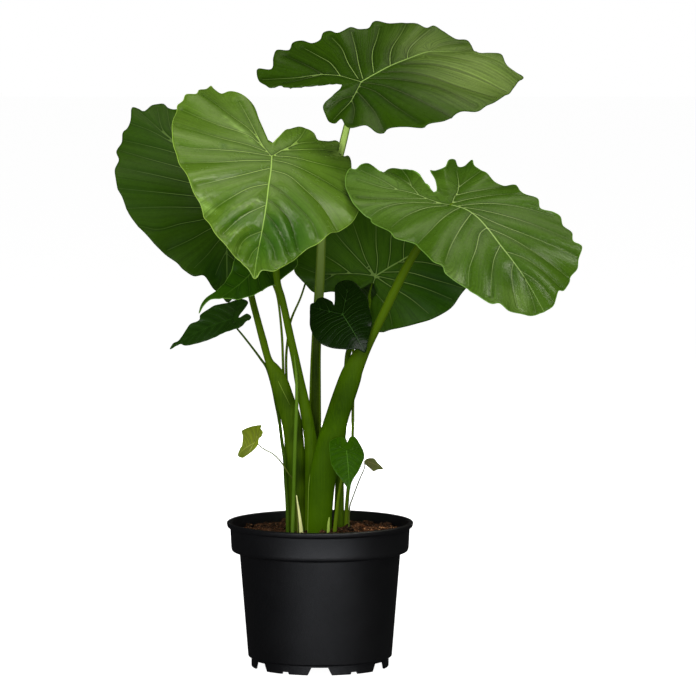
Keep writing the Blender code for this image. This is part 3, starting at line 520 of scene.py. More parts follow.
        # triangles over the outline, with the veins as edges
        edge = thin(smoothClosed(self.outline, step), 0.5 * step)
        points = [edge]
        count = len(edge)
        lines = [(i, (i + 1) % count) for i in range(count)]
        rim = np.vstack([edge, edge[:1]])
        for vein in self.midLines + self.sideLines + self.fineLines:
            way = np.linalg.norm(np.diff(vein, axis=0), axis=1).sum()
            cuts = max(2, round(way / step / (len(vein) - 1))) * (len(vein) - 1)
            share = np.linspace(0, len(vein) - 1, cuts + 1)
            dense = np.stack([np.interp(share, range(len(vein)), vein[:, k]) for k in (0, 1)], 1)
            dense = dense[isInside(dense, edge)]
            dense = dense[distanceTo(dense, rim) > 0.4 * step]
            if len(dense) > 1:
                points.append(dense)
                lines += [(count + i, count + i + 1) for i in range(len(dense) - 1)]
                count += len(dense)
        low, high = edge.min(axis=0), edge.max(axis=0)
        rows = np.arange(low[1], high[1], step * 0.87)
        grid = np.array([
            (x + (step / 2 if row % 2 else 0), y)
            for row, y in enumerate(rows) for x in np.arange(low[0], high[0], step)
        ])
        grid = grid[isInside(grid, edge)]
        grid = grid[distanceTo(grid, rim) > 0.5 * step]
        grid = grid[nearestOf(grid, points[1:]) > 0.5 * step]
        flat = [Vector(p) for p in np.vstack([*points, grid])]
        verts, _, faces, _, _, _ = delaunay_2d_cdt(flat, lines, [], 1, 1e-4)
        return np.array([tuple(v) for v in verts]), np.array([tuple(f) for f in faces]), rim


def vertexNormals(points, faces):
    a, b, c = (points[faces[:, k]] for k in range(3))
    turned = np.cross(b - a, c - a)
    normals = np.zeros_like(points)
    for k in range(3):
        np.add.at(normals, faces[:, k], turned)
    return normals / np.maximum(np.linalg.norm(normals, axis=1, keepdims=True), 1e-12)


def paintedLightOf(blade, flat):
    # painted sheen and painted shade: pale and dark areas, each with its place on the sheet, its radius
    # and its amount
    total = np.zeros(len(flat))
    for x, up, radius, amount in blade.spec.get("paintedLightPatches", ()):
        away = np.linalg.norm(flat - blade.toPlane([(x, up)]), axis=1)
        total += amount * np.exp(-(away / radius) ** 2)
    return np.clip(total, -0.9, 1)


def makeLeaf(name, slotName, spec, look, step=leafForm["step"]):
    blade = Blade(spec)
    flat, faces, rim = blade.net(step)
    middle = blade.toSpace(flat)
    normals = vertexNormals(middle, faces)
    if (normals @ blade.normal).mean() < 0:
        faces = faces[:, ::-1]
        normals = -normals
    edge = distanceTo(flat, rim)
    side = nearestOf(flat, blade.sideLines)
    midrib = nearestOf(flat, blade.midLines)
    # the ribs stand out below, and the rim is thinner than the middle
    form, size = leafForm, min(1.0, blade.length / leafForm["fullLength"])
    taper = np.clip(1 - flat[:, 0] / blade.length, 0.15, 1)
    rib = form["ribHeight"] * size * taper * np.exp(-(midrib / (form["ribWidth"] * size)) ** 2)
    sideRib = form["sideRibHeight"] * size * np.exp(-(side / (form["sideRibWidth"] * size)) ** 2)
    half = bladeThickness / 2 * np.clip(edge / (form["rimWidth"] * size), form["rimShare"], 1.0)
    top = middle + half[:, None] * normals
    bottom = middle - (half + np.maximum(rib, sideRib))[:, None] * normals
    count = len(flat)
    pairs = np.concatenate([faces[:, [0, 1]], faces[:, [1, 2]], faces[:, [2, 0]]])
    used = {tuple(p) for p in pairs}
    allFaces = [tuple(f) for f in faces] + [tuple(f[::-1] + count) for f in faces]
    allFaces += [(b, a, a + count, b + count) for a, b in used if (b, a) not in used]
    obj = makeObject(name, np.vstack([top, bottom]), allFaces, leafMaterial(name + "Paint", look))
    glows = [form["faintGlow"] if i in spec.get("faint", ()) else 1.0
             for i in range(len(blade.sideLines))]
    field, glow = fieldOf(flat, blade.sideLines + blade.midLines, glows + [1.0])
    values = dict(
        sideVein=side, fineVein=nearestOf(flat, blade.fineLines), midrib=midrib, edge=edge,
        reach=blade.reachOf(flat)[0], field=field, glow=glow, pucker=blade.puckerOf(flat),
        paintedLight=paintedLightOf(blade, flat),
    )
    giveValues(obj, under=np.repeat([0.0, 1.0], count),
               **{key: np.tile(numbers, 2) for key, numbers in values.items()})
    declare(obj, slotName, "blade_" + name)
    blades[name] = blade


# the leaves: outline, midrib and veins are on the sheet, and depth is how far the joint lies behind
# the pot's axis; face is the blade's turn and lift in degrees; arch, lobe and side bend it; wave,
# waves, quilt and puckered shape its margin and fields; faint lists the side veins that hardly
# show; the pale and dark areas are painted sheen and painted shade; colours are display values

blades = {}

topLeaf = dict(
    joint=(53, 752), tip=(261, 757), depth=60, face=(20, 57), arch=0.055, lobe=0.02, side=0.02,
    wave=5.0, waves=9, quilt=0.7, faint=(9, 10, 12, 13, 14, 15, 16, 17, 18, 19, 20),
    # painted sheen in the pale areas, the largest on the right end, and painted shade in the dark one by
    # the joint
    paintedLightPatches=[(205, 760, 62, 0.9), (130, 800, 40, 0.35), (62, 738, 30, -0.25)],
    left=[
        (28, 749), (13, 750), (-10, 748), (-35, 744), (-50, 747), (-65, 744), (-76, 752),
        (-81, 762), (-79, 769), (-62, 769), (-60, 783), (-55, 793), (-40, 793), (-35, 802),
        (-23, 805), (-10, 802), (0, 806), (4, 815), (13, 818), (25, 816), (39, 823), (50, 820),
        (62, 821), (68, 829), (76, 830), (91, 827), (107, 829), (121, 828), (135, 823),
        (146, 825), (158, 817), (174, 808), (190, 805), (201, 792), (217, 790), (231, 789),
        (239, 777), (251, 767),
    ],
    right=[
        (253, 751), (242, 737), (226, 727), (213, 721), (201, 714), (176, 712), (158, 701),
        (139, 698), (132, 693), (112, 694), (89, 693), (82, 687), (73, 687), (59, 696),
        (41, 693), (33, 696), (27, 705), (20, 699), (13, 701), (7, 710), (4, 720), (7, 727),
        (18, 737),
    ],
    midrib=[
        (53, 752), (74, 764), (91, 773), (113, 782), (128, 788), (142, 792), (162, 792), (182, 791),
        (208, 784), (233, 773), (257, 758),
    ],
    veins=[
        [(69, 764), (67, 780), (68, 793), (73, 808), (77, 824)],
        [(90, 773), (90, 787), (94, 798), (103, 811), (110, 824)],
        [(112, 782), (114, 793), (123, 803), (141, 817)],
        [(141, 792), (155, 800), (182, 805)],
        [(173, 792), (199, 793), (228, 789)],
        [(55, 756), (50, 773), (46, 793), (40, 814)],
        [(49, 756), (36, 776), (28, 793), (15, 806)],
        [(26, 760), (14, 776), (0, 785), (-19, 797)],
        [(53, 752), (39, 756), (23, 760), (-2, 761), (-32, 758), (-73, 758)],
        [(3, 762), (-15, 771), (-43, 783)],
        [(-2, 760), (-26, 755), (-46, 751)],
        [(53, 752), (48, 742), (39, 726), (27, 714), (18, 705)],
        [(44, 734), (28, 730), (12, 719)],
        [(41, 730), (44, 714), (41, 696)],
        [(48, 739), (60, 726), (72, 712), (82, 694)],
        [(53, 746), (72, 739), (90, 725), (105, 714), (128, 697)],
        [(55, 751), (83, 747), (105, 739), (131, 728), (169, 710)],
        [(62, 756), (92, 756), (126, 751), (154, 743), (198, 720)],
        [(80, 764), (113, 764), (146, 757), (182, 744), (221, 730)],
        [(105, 775), (141, 774), (177, 766), (210, 755), (239, 742)],
        [(139, 788), (167, 783), (203, 773), (231, 761), (248, 752)],
    ],
)
# besides the leaf's own colours, the look holds the colour of the painted sheen
topLook = dict(blade=(25, 46, 2), pale=(44, 70, 7), vein=(130, 158, 80), rim=(34, 58, 10),
               paintedLight=(110, 132, 62), shine=0.24, specular=0.16)
makeLeaf("top", "leaf_mid", topLeaf, topLook)

frontLeaf = dict(
    joint=(-62, 658), tip=(-83, 499), depth=-40, face=(27, 34), arch=0.09, lobe=0.08, side=0.18,
    wave=5.0, waves=11, puckered=4.0, quilt=0.5, faint=(17, 18, 19, 20),
    # painted shade in the dark areas and painted highlights in the pale ones; each has its place across
    # and up, a radius and an amount
    paintedLightPatches=[
        (-38, 556, 40, -0.7), (-75, 535, 26, -0.4), (-100, 580, 26, -0.35), (-30, 600, 30, -0.2),
        (-124, 670, 5, -0.5), (-108, 664, 3, -0.4),
        # painted highlights: pale crests between the sunken veins
        (-122, 705, 4, 0.4), (-115, 700, 4, 0.5), (-108, 695, 4.5, 0.6), (-101, 689, 4.5, 0.6),
        (-94, 683, 4, 0.5), (-88, 677, 4, 0.3), (-155, 598, 8, 0.4), (-145, 591, 7, 0.4),
        (-136, 587, 6, 0.3), (-112, 588, 4, 0.4), (-104, 590, 4, 0.5), (-96, 592, 4, 0.5),
        (-88, 595, 4, 0.5), (-80, 598, 4, 0.4),
        (-118, 554, 4, 0.4), (-110, 557, 4, 0.4), (-102, 560, 4, 0.4), (-94, 563, 4, 0.4),
        (-116, 531, 4, 0.4), (-109, 536, 4, 0.4), (-102, 541, 4, 0.4), (-95, 546, 4, 0.3),
        # shaded hollows
        (-125, 567, 8, -0.3), (-112, 573, 7, -0.35), (-118, 546, 6, -0.3), (-62, 570, 9, -0.3),
    ],
    left=[
        (-63, 674), (-71, 688), (-78, 704), (-84, 720), (-94, 732), (-107, 739), (-117, 740),
        (-127, 737), (-136, 743), (-140, 747), (-146, 743), (-155, 742), (-159, 737),
        (-172, 736), (-176, 728), (-183, 722), (-184, 714), (-189, 702), (-190, 692),
        (-189, 676), (-184, 658), (-174, 637), (-163, 612), (-153, 593), (-145, 575),
        (-135, 558), (-120, 540), (-107, 527), (-94, 514),
    ],
    right=[
        (-74, 511), (-61, 508), (-51, 513), (-35, 522), (-19, 536), (-2, 545), (14, 558),
        (37, 568), (47, 581), (51, 596), (50, 611), (46, 626), (41, 639), (37, 657), (30, 657),
        (25, 663), (25, 673), (20, 677), (11, 676), (-2, 678), (-7, 686), (-17, 693),
        (-27, 695), (-38, 692), (-45, 690), (-55, 680),
    ],
    midrib=[
        (-62, 657), (-63, 639), (-66, 619), (-69, 593), (-74, 562), (-78, 541), (-82, 519), (-85, 497),
    ],
    veins=[
        [(-63, 657), (-74, 671), (-83, 688), (-92, 705), (-104, 725)],
        [(-74, 671), (-90, 691), (-110, 706), (-136, 725), (-150, 733)],
        [(-72, 667), (-91, 683), (-122, 694), (-149, 705), (-174, 717)],
        [(-68, 662), (-92, 671), (-126, 679), (-156, 687), (-182, 693)],
        [(-64, 657), (-95, 662), (-128, 665), (-159, 667), (-179, 670)],
        [(-64, 651), (-95, 651), (-128, 649), (-159, 649), (-174, 649)],
        [(-65, 641), (-95, 634), (-128, 626), (-159, 617)],
        [(-67, 621), (-90, 616), (-110, 606), (-131, 593), (-145, 580)],
        [(-70, 594), (-90, 585), (-106, 574), (-126, 555)],
        [(-74, 561), (-90, 555), (-100, 546), (-105, 532)],
        [(-78, 542), (-86, 534), (-91, 523)],
        [(-61, 657), (-47, 665), (-27, 673), (-5, 676)],
        [(-38, 669), (-26, 680), (-19, 692)],
        [(-50, 664), (-28, 665), (-2, 666), (23, 664)],
        [(-59, 657), (-33, 655), (-2, 647), (36, 637)],
        [(-61, 652), (-36, 646), (-2, 630), (36, 607)],
        [(-63, 639), (-41, 632), (-20, 615), (3, 593), (23, 564)],
        [(-64, 620), (-45, 608), (-26, 589), (-11, 570), (-4, 551)],
        [(-68, 602), (-51, 589), (-37, 571), (-27, 539)],
        [(-70, 584), (-59, 570), (-49, 552), (-41, 532)],
        [(-74, 561), (-68, 551), (-61, 538), (-58, 523)],
    ],
)
# besides the leaf's own colours, the look holds the colour of the painted highlights
frontLook = dict(blade=(58, 87, 12), pale=(82, 110, 32), vein=(142, 174, 78), rim=(146, 180, 72),
                 rimWidth=1.1, shine=0.21, wrinkles=2.0, specular=0.36, paintedLight=(136, 172, 78))
makeLeaf("front", "leaf_light", frontLeaf, frontLook)

rightLeaf = dict(
    joint=(170, 594), tip=(288, 457), depth=-50, face=(20, 44), arch=0.10, lobe=-0.20, side=0.12,
    wave=5.0, waves=11, quilt=0.85,
    # painted sheen in the pale areas and painted shade in the dark ones
    paintedLightPatches=[
        (80, 612, 60, 0.35), (240, 505, 30, -0.2), (168, 500, 14, 0.6), (250, 474, 20, 0.6),
        (60, 643, 12, -0.6), (108, 636, 14, -0.5), (150, 642, 12, -0.5), (186, 647, 14, -0.5),
    ],
    left=[
        (149, 612), (140, 619), (128, 634), (118, 640), (103, 642), (89, 641), (79, 638),
        (64, 647), (53, 647), (46, 641), (38, 641), (33, 632), (32, 622), (35, 611), (42, 597),
        (56, 582), (65, 577), (67, 571), (89, 560), (97, 551), (118, 546), (124, 544), (128, 538),
        (144, 522), (157, 516), (160, 507), (169, 499), (187, 489), (195, 482), (218, 468),
        (230, 468), (242, 458), (257, 455), (270, 452),
    ],
    right=[
        (300, 466), (306, 484), (313, 485), (320, 495), (322, 503), (330, 512), (332, 525),
        (336, 541), (325, 549), (323, 559), (312, 567), (309, 579), (300, 586), (283, 591),
        (279, 604), (259, 612), (251, 620), (236, 620), (222, 626), (214, 636), (199, 644),
        (195, 652), (185, 644), (177, 644), (173, 652), (165, 652), (160, 643), (148, 638),
        (141, 638), (148, 624),
    ],
    midrib=[
        (169, 594), (186, 589), (201, 579), (214, 565), (231, 543), (246, 524), (259, 506), (272, 485),
        (281, 469), (287, 458),
    ],
    veins=[
        [(169, 594), (157, 596), (141, 601), (126, 607), (108, 612), (82, 617), (49, 628)],
        [(126, 608), (114, 621), (98, 633), (82, 637)],
        [(118, 616), (114, 629), (105, 641)],
        [(98, 615), (77, 626), (51, 637)],
        [(135, 602), (105, 602), (74, 601), (49, 601)],
        [(154, 596), (121, 597), (95, 594), (77, 588), (67, 582)],
        [(163, 593), (139, 591), (118, 584), (104, 576), (91, 564)],
        [(180, 591), (167, 584), (154, 574), (141, 561), (127, 548)],
        [(194, 583), (181, 565), (168, 542), (160, 520)],
        [(214, 565), (205, 557), (200, 537), (192, 514), (191, 492)],
        [(231, 542), (223, 524), (219, 498), (218, 475)],
        [(248, 521), (246, 505), (249, 484), (253, 465)],
        [(262, 502), (267, 488), (273, 474), (277, 460)],
        [(169, 594), (172, 603), (177, 612), (178, 624), (176, 639)],
        [(177, 616), (189, 625), (205, 635)],
        [(173, 606), (199, 612), (239, 620)],
        [(172, 597), (198, 603), (231, 607), (274, 603)],
        [(177, 593), (213, 596), (251, 593), (300, 582)],
        [(185, 591), (218, 585), (257, 574), (316, 549)],
        [(196, 584), (228, 570), (267, 555), (328, 526)],
        [(216, 564), (244, 552), (274, 535), (318, 505)],
        [(239, 534), (264, 524), (286, 508), (308, 488)],
        [(255, 511), (272, 499), (286, 485), (298, 467)],
    ],
)
# besides the leaf's own colours, the look holds the colour of the painted sheen
rightLook = dict(blade=(44, 71, 9), pale=(61, 90, 18), vein=(140, 166, 92), rim=(110, 150, 62),
                 shine=0.22, specular=0.24, paintedLight=(104, 130, 62))
makeLeaf("right", "leaf_mid", rightLeaf, rightLook)

leftBackLeaf = dict(
    joint=(-117, 623), tip=(-118, 469), depth=100, face=(20, 20), arch=0.07, lobe=0.08, side=0.12,
    # the dark area low on the blade is painted shade
    wave=5.0, waves=11, quilt=0.6, paintedLightPatches=[(-134, 508, 26, -0.6)],
    left=[
        (-120, 639), (-129, 665), (-144, 693), (-159, 714), (-174, 721), (-185, 717),
        (-194, 719), (-200, 724), (-207, 724), (-216, 722), (-225, 715), (-232, 718),
        (-239, 720), (-242, 717), (-243, 702), (-247, 693), (-253, 687), (-254, 675),
        (-261, 663), (-258, 652), (-263, 640), (-262, 628), (-259, 615), (-254, 605),
        (-248, 590), (-242, 578), (-229, 563), (-214, 546), (-202, 534), (-185, 521),
        (-175, 511), (-162, 503), (-150, 504), (-144, 498), (-137, 487), (-128, 480),
    ],
    right=[
        (-105, 483), (-90, 496), (-67, 521), (-43, 549), (-29, 582), (-28, 616), (-38, 648),
        (-56, 670), (-77, 683), (-92, 693), (-102, 680), (-110, 658),
    ],
    midrib=[
        (-117, 623), (-118, 584), (-119, 546), (-119, 507), (-118, 474),
    ],
    veins=[
        [(-118, 624), (-146, 644), (-172, 664), (-190, 678), (-204, 694), (-208, 719)],
        [(-182, 671), (-192, 693), (-195, 719)],
        [(-172, 664), (-199, 684), (-215, 698), (-236, 715)],
        [(-159, 655), (-190, 674), (-218, 689), (-245, 699)],
        [(-146, 646), (-186, 661), (-218, 670), (-250, 678)],
        [(-118, 623), (-149, 633), (-178, 642), (-218, 653), (-256, 665)],
        [(-118, 612), (-141, 617), (-169, 623), (-210, 632), (-258, 641)],
        [(-118, 601), (-141, 603), (-165, 606), (-210, 611), (-259, 615)],
        [(-118, 593), (-144, 591), (-169, 591), (-205, 592), (-246, 591)],
        [(-118, 584), (-149, 576), (-179, 570), (-208, 562), (-232, 567)],
        [(-119, 574), (-144, 562), (-164, 551), (-195, 537)],
        [(-119, 560), (-132, 546), (-145, 530), (-163, 512)],
        [(-119, 537), (-127, 521), (-133, 506)],
        [(-118, 624), (-102, 652), (-94, 670), (-85, 684)],
        [(-105, 644), (-87, 655), (-69, 664)],
        [(-118, 621), (-95, 629), (-72, 632), (-46, 629)],
        [(-118, 606), (-92, 606), (-67, 598), (-33, 583)],
        [(-118, 585), (-95, 580), (-74, 567), (-56, 547)],
        [(-119, 560), (-100, 549), (-85, 534), (-74, 516)],
        [(-119, 532), (-108, 521), (-99, 506)],
    ],
)
leftBackLook = dict(blade=(31, 56, 4), pale=(43, 69, 9), vein=(96, 126, 56), rim=(34, 58, 12), shine=0.34,
                    specular=0.12)
makeLeaf("left_back", "leaf_dark", leftBackLeaf, leftBackLook)

backLeaf = dict(
    joint=(71, 503), tip=(203, 597), depth=90, face=(10, 22), arch=0.06, lobe=0.06, side=0.08,
    # the dark area on the right is painted shade and the pale one on the left painted light
    wave=4.0, waves=9, quilt=0.6, paintedLightPatches=[(165, 490, 60, -0.6), (50, 530, 50, 0.5)],
    left=[
        (67, 494), (51, 485), (32, 480), (16, 483), (6, 482), (-7, 482), (-19, 493),
        (-25, 499), (-33, 510), (-31, 526), (-18, 549), (5, 573), (32, 593), (67, 607),
        (105, 613), (144, 606), (177, 604),
    ],
    right=[
        (210, 573), (213, 542), (203, 508), (182, 481), (168, 462), (146, 449), (121, 441),
        (94, 435), (78, 431), (66, 434), (60, 446), (60, 462), (66, 473), (74, 485),
    ],
    midrib=[
        (71, 503), (90, 515), (109, 526), (135, 543), (167, 569), (198, 593),
    ],
    veins=[
        [(71, 503), (51, 506), (26, 506), (-2, 506), (-26, 514)],
        [(39, 507), (23, 519), (0, 534)],
        [(19, 505), (3, 496), (-10, 488)],
        [(68, 505), (48, 526), (27, 549), (13, 567)],
        [(69, 506), (58, 526), (50, 549), (41, 575)],
        [(72, 506), (74, 524), (72, 543), (72, 573)],
        [(87, 514), (90, 532), (91, 552), (95, 585)],
        [(107, 525), (108, 546), (115, 573), (126, 601)],
        [(131, 541), (136, 560), (151, 585), (162, 606)],
        [(71, 502), (68, 490), (74, 478), (87, 462), (92, 442)],
        [(72, 502), (92, 489), (115, 475), (139, 455)],
        [(74, 503), (100, 497), (133, 488), (169, 473)],
        [(80, 508), (113, 508), (146, 499), (187, 488)],
        [(100, 521), (131, 521), (162, 514), (200, 506)],
        [(128, 539), (159, 542), (187, 537), (210, 537)],
        [(162, 565), (185, 567), (210, 565)],
    ],
)
# besides the leaf's own colours, the look holds the colour of the painted light
backLook = dict(blade=(38, 68, 4), pale=(50, 82, 9), vein=(118, 148, 72), rim=(34, 60, 10), shine=0.34,
                paintedLight=(66, 100, 18), specular=0.10)
makeLeaf("back", "leaf_deep", backLeaf, backLook)

leftMiddleLeaf = dict(
    joint=(-70, 525), tip=(-155, 454), depth=22, face=(-15, 32), arch=0.08, lobe=0.05, side=0.08,
    wave=2.5, waves=8,
    left=[
        (-64, 534), (-74, 541), (-87, 546), (-99, 542), (-108, 532), (-111, 521), (-115, 507),
        (-126, 491), (-133, 484), (-146, 475), (-153, 465),
    ],
    right=[
        (-149, 465), (-140, 473), (-128, 475), (-108, 473), (-92, 477), (-82, 480), (-60, 492),
        (-49, 499), (-35, 510), (-28, 521), (-36, 534), (-50, 539),
    ],
    midrib=[
        (-70, 525), (-87, 508), (-102, 493), (-120, 479), (-138, 467), (-152, 456),
    ],
    veins=[
        [(-72, 524), (-69, 511), (-61, 497), (-54, 488)],
        [(-79, 516), (-79, 501), (-74, 485), (-64, 480)],
        [(-91, 505), (-91, 493), (-90, 478)],
        [(-102, 493), (-105, 485), (-105, 476)],
        [(-118, 480), (-120, 476), (-122, 473)],
        [(-72, 525), (-85, 533), (-95, 542)],
        [(-82, 514), (-95, 521), (-106, 532)],
        [(-95, 501), (-105, 506), (-113, 514)],
        [(-109, 488), (-117, 492), (-123, 496)],
        [(-72, 525), (-59, 532), (-43, 534)],
    ],
)
leftMiddleLook = dict(blade=(31, 65, 2), pale=(42, 76, 5), vein=(72, 110, 30), rim=(100, 140, 50),
                      size=0.7, specular=0.15)
makeLeaf("left_middle", "leaf_mid", leftMiddleLeaf, leftMiddleLook, 1.7)

leftLowLeaf = dict(
    joint=(-113, 448), tip=(-192, 409), depth=-25, face=(-15, 30), arch=0.10, lobe=0.04, side=0.08,
    wave=1.6, waves=8, quilt=0.6,
    left=[
        (-104, 450), (-96, 462), (-92, 469), (-96, 473), (-107, 473), (-124, 468), (-140, 463),
        (-153, 454), (-155, 447), (-167, 441), (-175, 429), (-181, 421), (-188, 417),
    ],
    right=[
        (-180, 416), (-171, 414), (-153, 418), (-132, 426), (-110, 435), (-103, 437),
        (-95, 445), (-90, 447), (-88, 451), (-94, 455),
    ],
)
leftLowLook = dict(blade=(20, 44, 4), pale=(30, 56, 10), vein=(34, 62, 14), rim=(40, 70, 18),
                   size=0.5, veinWidth=0.5, rimWidth=0.8, shine=0.26, specular=0.30)
makeLeaf("left_low", "leaf_dark", leftLowLeaf, leftLowLook, 1.2)

centreLeaf = dict(
    joint=(29, 454), tip=(58, 405), depth=-8, face=(0, 20), arch=0.10, lobe=0.06, side=0.15,
    wave=1.5, waves=7, quilt=0.45,
    left=[
        (18, 466), (15, 471), (4, 476), (-1, 476), (-6, 470), (-12, 467), (-13, 459),
        (-13, 451), (-13, 440), (-10, 430), (-6, 424), (2, 416), (11, 412), (20, 410),
        (33, 409), (48, 409),
    ],
    right=[
        (62, 421), (66, 438), (67, 448), (63, 464), (62, 473), (55, 484), (48, 492), (41, 497),
        (33, 498), (26, 496), (20, 491), (19, 483), (19, 473),
    ],
)
centreLook = dict(blade=(8, 24, 1), pale=(14, 34, 3), vein=(44, 74, 26), rim=(22, 48, 10),
                  size=0.5, veinWidth=0.5, rimWidth=0.6, shine=0.20, specular=0.25)
makeLeaf("centre", "leaf_deep", centreLeaf, centreLook, 1.2)

lowRightLeaf = dict(
    joint=(34, 279), tip=(38, 228), depth=-52, face=(5, 30), arch=0.10, lobe=0.10, side=0.12,
    wave=1.2, waves=6, quilt=0.6,
    left=[
        (35, 290), (33, 295), (22, 296), (14, 292), (12, 286), (14, 266), (16, 259), (22, 249),
        (24, 247), (32, 236),
    ],
    right=[
        (40, 236), (43, 243), (49, 252), (54, 263), (57, 271), (55, 281), (49, 292), (43, 298),
        (38, 296),
    ],
)
lowRightLook = dict(blade=(30, 62, 0), pale=(44, 78, 3), vein=(76, 118, 34), rim=(70, 112, 30),
                    size=0.35, veinWidth=0.4, rimWidth=0.5, shine=0.22, specular=0.14)
makeLeaf("low_right", "leaf_young", lowRightLeaf, lowRightLook, 0.9)

smallLeftLeaf = dict(
    joint=(-84, 289), tip=(-105, 273), depth=-22, face=(-30, 30), arch=0.10, lobe=0.05, side=0.15,
    wave=0.8, waves=5,
    left=[
        (-79, 287), (-78, 294), (-74, 299), (-73, 304), (-76, 308), (-75, 312), (-85, 311),
        (-92, 309), (-100, 305), (-100, 302), (-99, 296), (-100, 287), (-103, 281),
    ],
    right=[(-100, 270), (-94, 273), (-84, 281)],
)
oliveLook = dict(blade=(86, 102, 14), pale=(116, 130, 32), vein=(150, 160, 70), rim=(150, 160, 80),
                 size=0.25, veinWidth=0.4, rimWidth=0.5, shine=0.42)
makeLeaf("small_left", "leaf_olive", smallLeftLeaf, oliveLook, 0.8)

tinyRightLeaf = dict(
    joint=(61, 265), tip=(81, 256), depth=-20, face=(20, 35), arch=0.08, lobe=0.02, side=0.10,
    wave=0.4, waves=4,
    left=[(57, 266), (60, 269), (65, 270), (70, 269), (74, 264)],
    right=[(74, 255), (69, 253), (64, 257), (58, 262)],
)
brownLook = dict(blade=(72, 82, 34), pale=(96, 98, 50), vein=(120, 112, 70), rim=(110, 96, 60),
                 size=0.2, veinWidth=0.3, rimWidth=0.4, shine=0.45)
makeLeaf("tiny_right", "leaf_olive", tinyRightLeaf, brownLook, 0.6)

hiddenLeaf = dict(
    joint=(5, 519), tip=(100, 478), depth=135, face=(0, 24), arch=0.10, lobe=0.03, side=0.08,
    wave=2.0, waves=8,
    left=[
        (-3, 518), (-13, 530), (-10, 542), (8, 549), (33, 548), (62, 534), (85, 508),
    ],
    right=[(77, 470), (46, 473), (21, 483), (4, 496), (-2, 508)],
)
hiddenLook = dict(blade=(32, 56, 12), pale=(44, 70, 18), vein=(72, 102, 40), rim=(56, 88, 28), size=0.6)
makeLeaf("hidden", "leaf_dark", hiddenLeaf, hiddenLook, 1.8)
print("leaves made")


# stalks

def makeStalkPaint():
    tree, given, out = newGroup("stalkPaint", ("green", "light", "top"), ("flutes",), ("Colour", "Height"))
    light = given["light"]
    place = placeNode(tree)
    # long fibres: the pattern is stretched along the height
    stretch = addNode(tree, "ShaderNodeMapping")
    stretch.inputs["Scale"].default_value = (1.0, 1.0, 0.03)
    setInputs(tree, stretch, ("Vector",), (place,))
    fibre = noiseNode(tree, stretch.outputs["Vector"], 520.0, 3.0)
    cloud = noiseNode(tree, place, 22.0, 3.0)
    plain = mathNode(tree, "SUBTRACT", 1.0, times(tree, given["flutes"], 0.9))
    tone = times(tree, rangeNode(tree, cloud, 0.3, 0.7, 0.0, 0.5), plain)
    lines = times(tree, rangeNode(tree, fibre, 0.4, 0.75, 0.0, 0.45), plain)
    base = mixColour(tree, tone, given["green"], light)
    base = mixColour(tree, lines, base, light)
    # towards its upper end the stalk takes its top colour; the top stalk's paler top is partly painted
    # light where the top leaf shades it
    base = mixColour(tree, rangeNode(tree, valueOf(tree, "gone"), 0.33, 0.78), base, given["top"])
    # paler and yellower just above the soil
    height = addNode(tree, "ShaderNodeSeparateXYZ")
    setInputs(tree, height, ("Vector",), (place,))
    base = mixColour(tree, rangeNode(tree, height.outputs["Z"], 0.175, 0.245, 0.8, 0.0), base, light)
    # a fluted stalk has paler flanks, and a sheath a pale margin
    flank = rangeNode(tree, mathNode(tree, "ABSOLUTE", valueOf(tree, "aside")), 0.55, 0.85)
    base = mixColour(tree, times(tree, flank, given["flutes"]), base, light)
    base = mixColour(tree, valueOf(tree, "margin"), base, linear(140, 168, 66))
    base = mixColour(tree, 1.0, base, valueOf(tree, "shade"), "MULTIPLY")
    tree.links.new(base, out["Colour"])
    tree.links.new(fibre, out["Height"])
    return tree


stalkPaint = makeStalkPaint()


def stalkMaterial(name, green, light, top=None, flutes=0.0, rough=0.42):
    look = dict(green=green, light=light, top=top or light, flutes=flutes)
    return groupMaterial(name, stalkPaint, look, 0.0004, Roughness=rough, Specular_IOR_Level=0.03)


def seatOf(stalkName):
    # under the blade where midrib and lobe veins meet, or at the notch between the lobes
    blade = blades[stalkName]
    if stalkName in notchStalks:
        return blade.toSpace(blade.notch[None])[0]
    crown = blade.toSpace(np.zeros((1, 2)))[0]
    normal = blade.normal - 4 * blade.spec["arch"] * blade.along
    return crown - normal / np.linalg.norm(normal) * bladeThickness / 2


def tubeMesh(rows, end=None, sides=20, cuts=7):
    # the seat is a control point too, so that the stalk curves into it
    space = [atDepth(*row[:3]) for row in rows]
    widths = [(row[3], row[-1]) for row in rows]
    if end is not None:
        space.append(end)
        widths.append((0.8 * min(widths[-1]),) * 2)
    stations = smoothOpen(space, cuts)
    wide, thick = smoothOpen(widths, cuts).T
    count = len(stations)
    ring = 2 * math.pi * np.arange(sides) / sides
    points = []
    for i, centre in enumerate(stations):
        ahead = stations[min(i + 1, count - 1)] - stations[max(i - 1, 0)]
        ahead = ahead / np.linalg.norm(ahead)
        side = np.cross(np.array([0.0, 1.0, 0.0]), ahead)
        side = side - (side @ ahead) * ahead
        side /= np.linalg.norm(side)
        deep = np.cross(ahead, side)
        points.append(centre + wide[i] * np.cos(ring)[:, None] * side
                      + thick[i] * np.sin(ring)[:, None] * deep)
    faces = [face for i in range(count - 1) for face in bridge(i, sides)]
    faces.append(tuple(reversed(range(sides))))
    faces.append(tuple(range((count - 1) * sides, count * sides)))
    # the shares gone along the stalk and aside of its middle
    gone = np.repeat(np.linspace(0, 1, count), sides)
    return np.vstack(points), faces, gone, np.tile(np.cos(ring), count)


